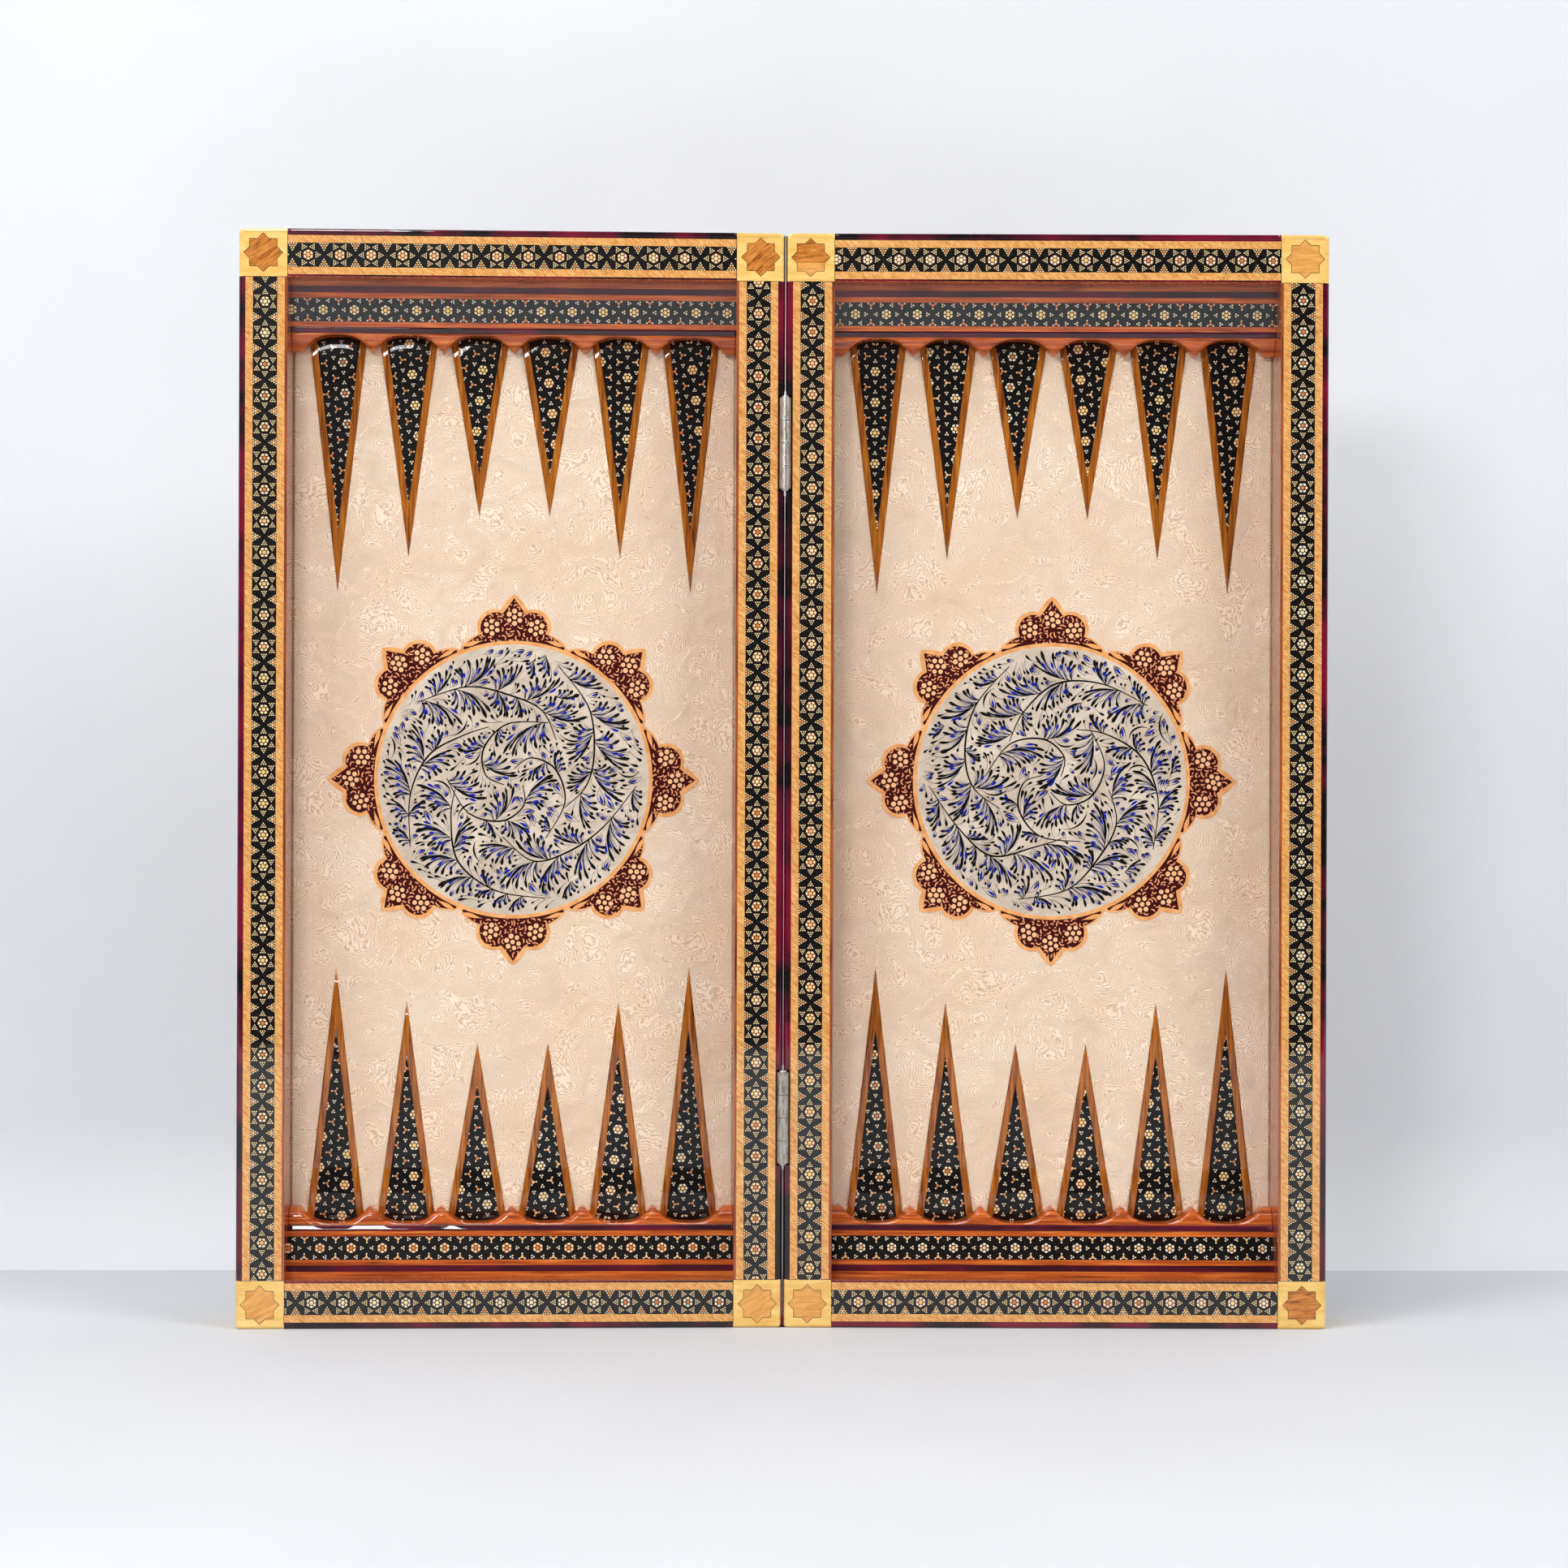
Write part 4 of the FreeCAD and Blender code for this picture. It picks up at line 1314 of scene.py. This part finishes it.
def star_wood(name, side):
    """Corner stars, each cut from its own wood: the grain slants in some and lies flat in others."""
    finish = Finish(name, roughness=0.45, coat=1.0, coat_roughness=0.035)
    top = finish.math("SUBTRACT", 1.0, finish.inside("Z", 0, MIDDLE))
    slant = finish.stretched((8, 2, 0.9), (0, math.radians(38), 0))
    flat = finish.stretched((9, 2, 1.1), (0, math.radians(30 if side < 0 else 4), 0))
    where = choose(finish, top, flat, slant if side < 0 else flat)
    streaks = finish.noise(where, detail=6.0, roughness=0.7, distortion=0.5)
    light = finish.ramp(streaks, [(0.3, (206, 136, 62)), (0.6, (238, 176, 94))])
    dark = finish.ramp(streaks, [(0.36, (120, 62, 22)), (0.48, (196, 118, 44)), (0.66, (226, 152, 72))])
    if side < 0:
        colour = finish.blend(top, light, dark)
    else:
        seam_side = finish.math("SUBTRACT", 1.0, finish.inside("X", 2 * CENTRE, CENTRE))
        split = finish.math("MULTIPLY", finish.math("MULTIPLY", seam_side, top),
                            finish.inside("Z", HEIGHT, FRAME / 2 + 2.6))
        far_low = finish.math("MULTIPLY", finish.math("SUBTRACT", 1.0, seam_side),
                              finish.math("SUBTRACT", 1.0, top))
        colour = finish.blend(finish.math("MAXIMUM", split, far_low), light, dark)
    finish.set(Base_Color=colour, Roughness=finish.range(streaks, 0.4, 0.55),
               Normal=finish.bump(streaks, 0.02))
    finish.lacquer_waves(0.03)
    return finish.material


def tile_palette():
    return {
        "ivory": chip("ivory_chip", (238, 224, 196)),
        "cream": chip("cream_chip", (244, 218, 168)),
        "gold": chip("gold_chip", (246, 200, 118)),
        "peach": chip("peach_chip", (238, 178, 120)),
        "orange": chip("orange_chip", (206, 122, 66)),
        "tan": chip("tan_chip", (190, 122, 66)),
        "rust": chip("rust_chip", (104, 44, 22)),
        "black": chip("black_chip", (14, 12, 12)),
        "ink": chip("glue_line", (40, 22, 14), 0.5),
    }


def paint_palette():
    return {
        "ink": paint("black_ink", (16, 15, 17)),
        "blue": paint("blue_ink", (30, 42, 168)),
        "pale_blue": paint("pale_blue_ink", (84, 90, 138)),
        "ray_ground": paint("maroon_ground", (66, 12, 10)),
        "peach": paint("peach_dots", (250, 192, 142)),
        "scroll": paint("scroll_line", (236, 158, 112)),
        "ray_line": paint("ray_leaf", (240, 168, 104)),
    }


def dress(name, material):
    """Gives a CAD node its finish."""
    slots = nodes[name].material_slots
    if not slots:
        nodes[name].data.materials.append(material)
    for slot in nodes[name].material_slots:
        slot.material = material


def dress_all():
    """Gives every CAD node its finish, and adds the skins of the same wood and lacquer."""
    ground = ebony("mosaic_ground")
    point_ground = ebony("point_ground", 0.4)
    lines = boxwood_lines("boxwood_lines")
    pale = wood("boxwood_squares", ((232, 178, 88), (246, 202, 114), (251, 218, 140)), (18, 9, 5), pores=0.1)
    rest = wood("rest_wood", ((112, 40, 16), (200, 92, 34), (230, 134, 60)), (40, 3, 1.5), pores=0.5)
    border = wood("border_wood", ((104, 48, 12), (170, 94, 22), (206, 128, 38)), (1.3, 4, 26), pores=0.8)
    dark_line = wood("maroon_line", ((34, 8, 14), (70, 12, 30), (112, 16, 44)), (40, 12, 12), pores=0.1)
    hidden = wood("plain_wood", ((150, 104, 60), (186, 136, 86), (206, 160, 110)), (60, 4, 2.5), waves=0)
    walnut = wood("walnut", ((58, 26, 14), (92, 44, 22), (128, 68, 36)), (3, 3, 70), pores=0.6)
    orange = orange_paint("orange_paint")
    disc = painted_ground("disc_ground")
    steel = old_steel("old_steel")
    for side, name in TRAYS.items():
        edge = lacquer(f"{name}_maroon_lacquer", side)
        finishes = (
            (edge, ("bottom_rail", "top_rail", "outer_stile", "hinge_stile")),
            (pale, ("corner_posts",)),
            (star_wood(f"{name}_star_wood", side), ("corner_stars",)),
            (lines, ("face_lines", "back_lines")),
            (ground, ("face_mosaic", "back_mosaic", "rest_mosaic")),
            (point_ground, ("point_cores",)),
            (border, ("point_borders",)),
            (rest, ("bottom_rest", "top_rest", "bottom_lip", "top_lip")),
            (dark_line, ("rest_lines",)),
            (orange, ("medallion_rays", "medallion_ring")),
            (disc, ("medallion_disc", "back_medallion")),
            (hidden, ("base_board",)),
            (walnut, ("back_panel",)),
            (steel, ("hinge_screws",)),
        )
        for material, parts in finishes:
            for part in parts:
                dress(f"{name}_{part}", material)
        for place in ("upper", "lower"):
            dress(f"{place}_hinge_{name}_leaf", steel)
        point_feet(side, point_ground, border)
        rounded_lips(side, rest)
        line_beads(side, dark_line)
        rolled_edge(side, edge, pale)
        seam_lacquer_and_shade(side, edge)
    for place in ("upper", "lower"):
        dress(f"{place}_hinge_pin", steel)


# ---- pieces -----------------------------------------------------------------------------------------
def add_pieces():
    tiles = tile_palette()
    paints = paint_palette()
    hide = leather()
    for side in TRAYS:
        dice = random.Random(40 + side)
        leather_bed(side, 7 + side, hide)
        front, back = face_at(0.0), back_at(DEPTH)
        inlays = [face_mosaics(side, front, "face_tiles", dice), face_mosaics(side, back, "back_tiles", dice)]
        inlays += rest_mosaics(side, dice) + point_mosaics(side, dice)
        inlays += [corner_details(side, front, "face_glue_lines"),
                   corner_details(side, back, "back_glue_lines")]
        for pieces in inlays:
            pieces.build(tiles)
        bed = face_at(BED - PROUD)
        for pieces in painted_medallion(side, bed, "bed", 1.0, 11 + side):
            pieces.build(paints)
        for pieces in painted_medallion(side, back, "back", BACK_MEDALLION, 21 + side):
            pieces.build(paints)


# ---- studio -----------------------------------------------------------------------------------------
def studio_sheet(name, profile, finish):
    """A sheet 5 m wide whose section, seen from the side, is a line through (y, z) points."""
    points, faces = [], []
    for y, z in profile:
        points += [(-2.5, y, z), (2.5, y, z)]
    for k in range(len(profile) - 1):
        faces.append((2 * k, 2 * k + 1, 2 * k + 3, 2 * k + 2))
    mesh = bpy.data.meshes.new(name)
    mesh.from_pydata(points, [], faces)
    mesh.polygons.foreach_set("use_smooth", [True] * len(faces))
    mesh.materials.append(finish.material)
    sheet = bpy.data.objects.new(name, mesh)
    bpy.context.scene.collection.objects.link(sheet)


def studio_finish(name, tones):
    finish = Finish(name, roughness=0.85)
    clouds = finish.noise(finish.stretched(160), detail=2.0)
    weave = finish.noise(finish.stretched(1.5), detail=2.0)
    finish.set(Base_Color=finish.ramp(clouds, [(0.3, tones[0]), (0.7, tones[1])]),
               Normal=finish.bump(weave, 0.05))
    return finish


def sweep():
    """A floor, and a wall that bends up from it behind the board and isn't there when seen from behind."""
    floor = studio_finish("studio_floor", ((208, 210, 214), (212, 214, 218)))
    studio_sheet("studio_floor", [(-1.6, 0.0), (1.8, 0.0)], floor)
    finish = studio_finish("studio_wall", ((230, 232, 236), (234, 236, 240)))
    side_seen = finish.node("ShaderNodeNewGeometry").outputs["Backfacing"]
    clear = finish.node("ShaderNodeBsdfTransparent")
    mixed = finish.node("ShaderNodeMixShader", Fac=side_seen)
    finish.tree.links.new(finish.tree.nodes["Principled BSDF"].outputs[0], mixed.inputs[1])
    finish.tree.links.new(clear.outputs[0], mixed.inputs[2])
    finish.tree.links.new(mixed.outputs[0], finish.tree.nodes["Material Output"].inputs["Surface"])
    bend = [(0.16 + 0.07 * math.sin(a), 0.07 - 0.07 * math.cos(a)) for a in np.linspace(0.0, math.pi / 2, 10)]
    studio_sheet("studio_wall", bend + [(0.23, 2.2)], finish)


def softbox(name, place, target, size, power):
    light = bpy.data.lights.new(name, "AREA")
    light.shape = "RECTANGLE"
    light.size, light.size_y = size
    light.energy = power
    box = bpy.data.objects.new(name, light)
    box.location = place
    aim = Vector(target) - Vector(place)
    box.rotation_euler = aim.to_track_quat("-Z", "Y").to_euler()
    bpy.context.scene.collection.objects.link(box)


def studio():
    sweep()
    aim = (0, 0, 0.25)
    softbox("key", (-0.44, -1.55, 0.92), aim, (0.38, 0.24), 8)
    softbox("left_fill", (-2.3, -1.9, 2.1), aim, (1.6, 1.6), 36)
    softbox("right_fill", (2.4, -1.9, 2.1), aim, (1.6, 1.6), 54)
    softbox("overhead", (-0.28, -0.45, 1.9), aim, (0.42, 1.1), 11)


def room():
    """A room that is pale above and behind the board and dark in front of it."""
    world = bpy.data.worlds.new("room")
    bpy.context.scene.world = world
    world.use_nodes = True
    tree = world.node_tree
    place = tree.nodes.new("ShaderNodeTexCoord").outputs["Generated"]
    split = tree.nodes.new("ShaderNodeSeparateXYZ")
    tree.links.new(place, split.inputs[0])
    dim = tree.nodes.new("ShaderNodeMapRange")
    tree.links.new(split.outputs["Y"], dim.inputs["Value"])
    for key, value in (("From Min", -0.75), ("From Max", 0.1), ("To Min", 0.03), ("To Max", 0.62)):
        dim.inputs[key].default_value = value
    seen = tree.nodes.new("ShaderNodeMix")
    tree.links.new(tree.nodes.new("ShaderNodeLightPath").outputs["Is Camera Ray"], seen.inputs[0])
    tree.links.new(dim.outputs[0], seen.inputs[2])
    seen.inputs[3].default_value = 0.8
    background = tree.nodes["Background"].inputs
    background["Color"].default_value = (0.95, 0.97, 1.0, 1)
    tree.links.new(seen.outputs[0], background["Strength"])
    bpy.context.scene.view_settings.view_transform = "Standard"
    bpy.context.scene.view_settings.look = "None"


def camera():
    lens = bpy.data.cameras.new("camera")
    lens.sensor_width = 36
    lens.lens = 75.4
    eye = bpy.data.objects.new("camera", lens)
    turn = math.radians(FOLD / 2)
    look = Vector((math.sin(turn), math.cos(turn), 0))
    eye.location = Vector((0, HINGE.y, 0.2484)) - 1.5 * look
    aim = look.to_track_quat("-Z", "Y").to_matrix().to_4x4()
    eye.rotation_euler = (aim @ Matrix.Rotation(math.radians(0.2), 4, "Z")).to_euler()
    bpy.context.scene.collection.objects.link(eye)
    bpy.context.scene.camera = eye


dress_all()
add_pieces()
studio()
room()
camera()
bpy.context.view_layer.update()
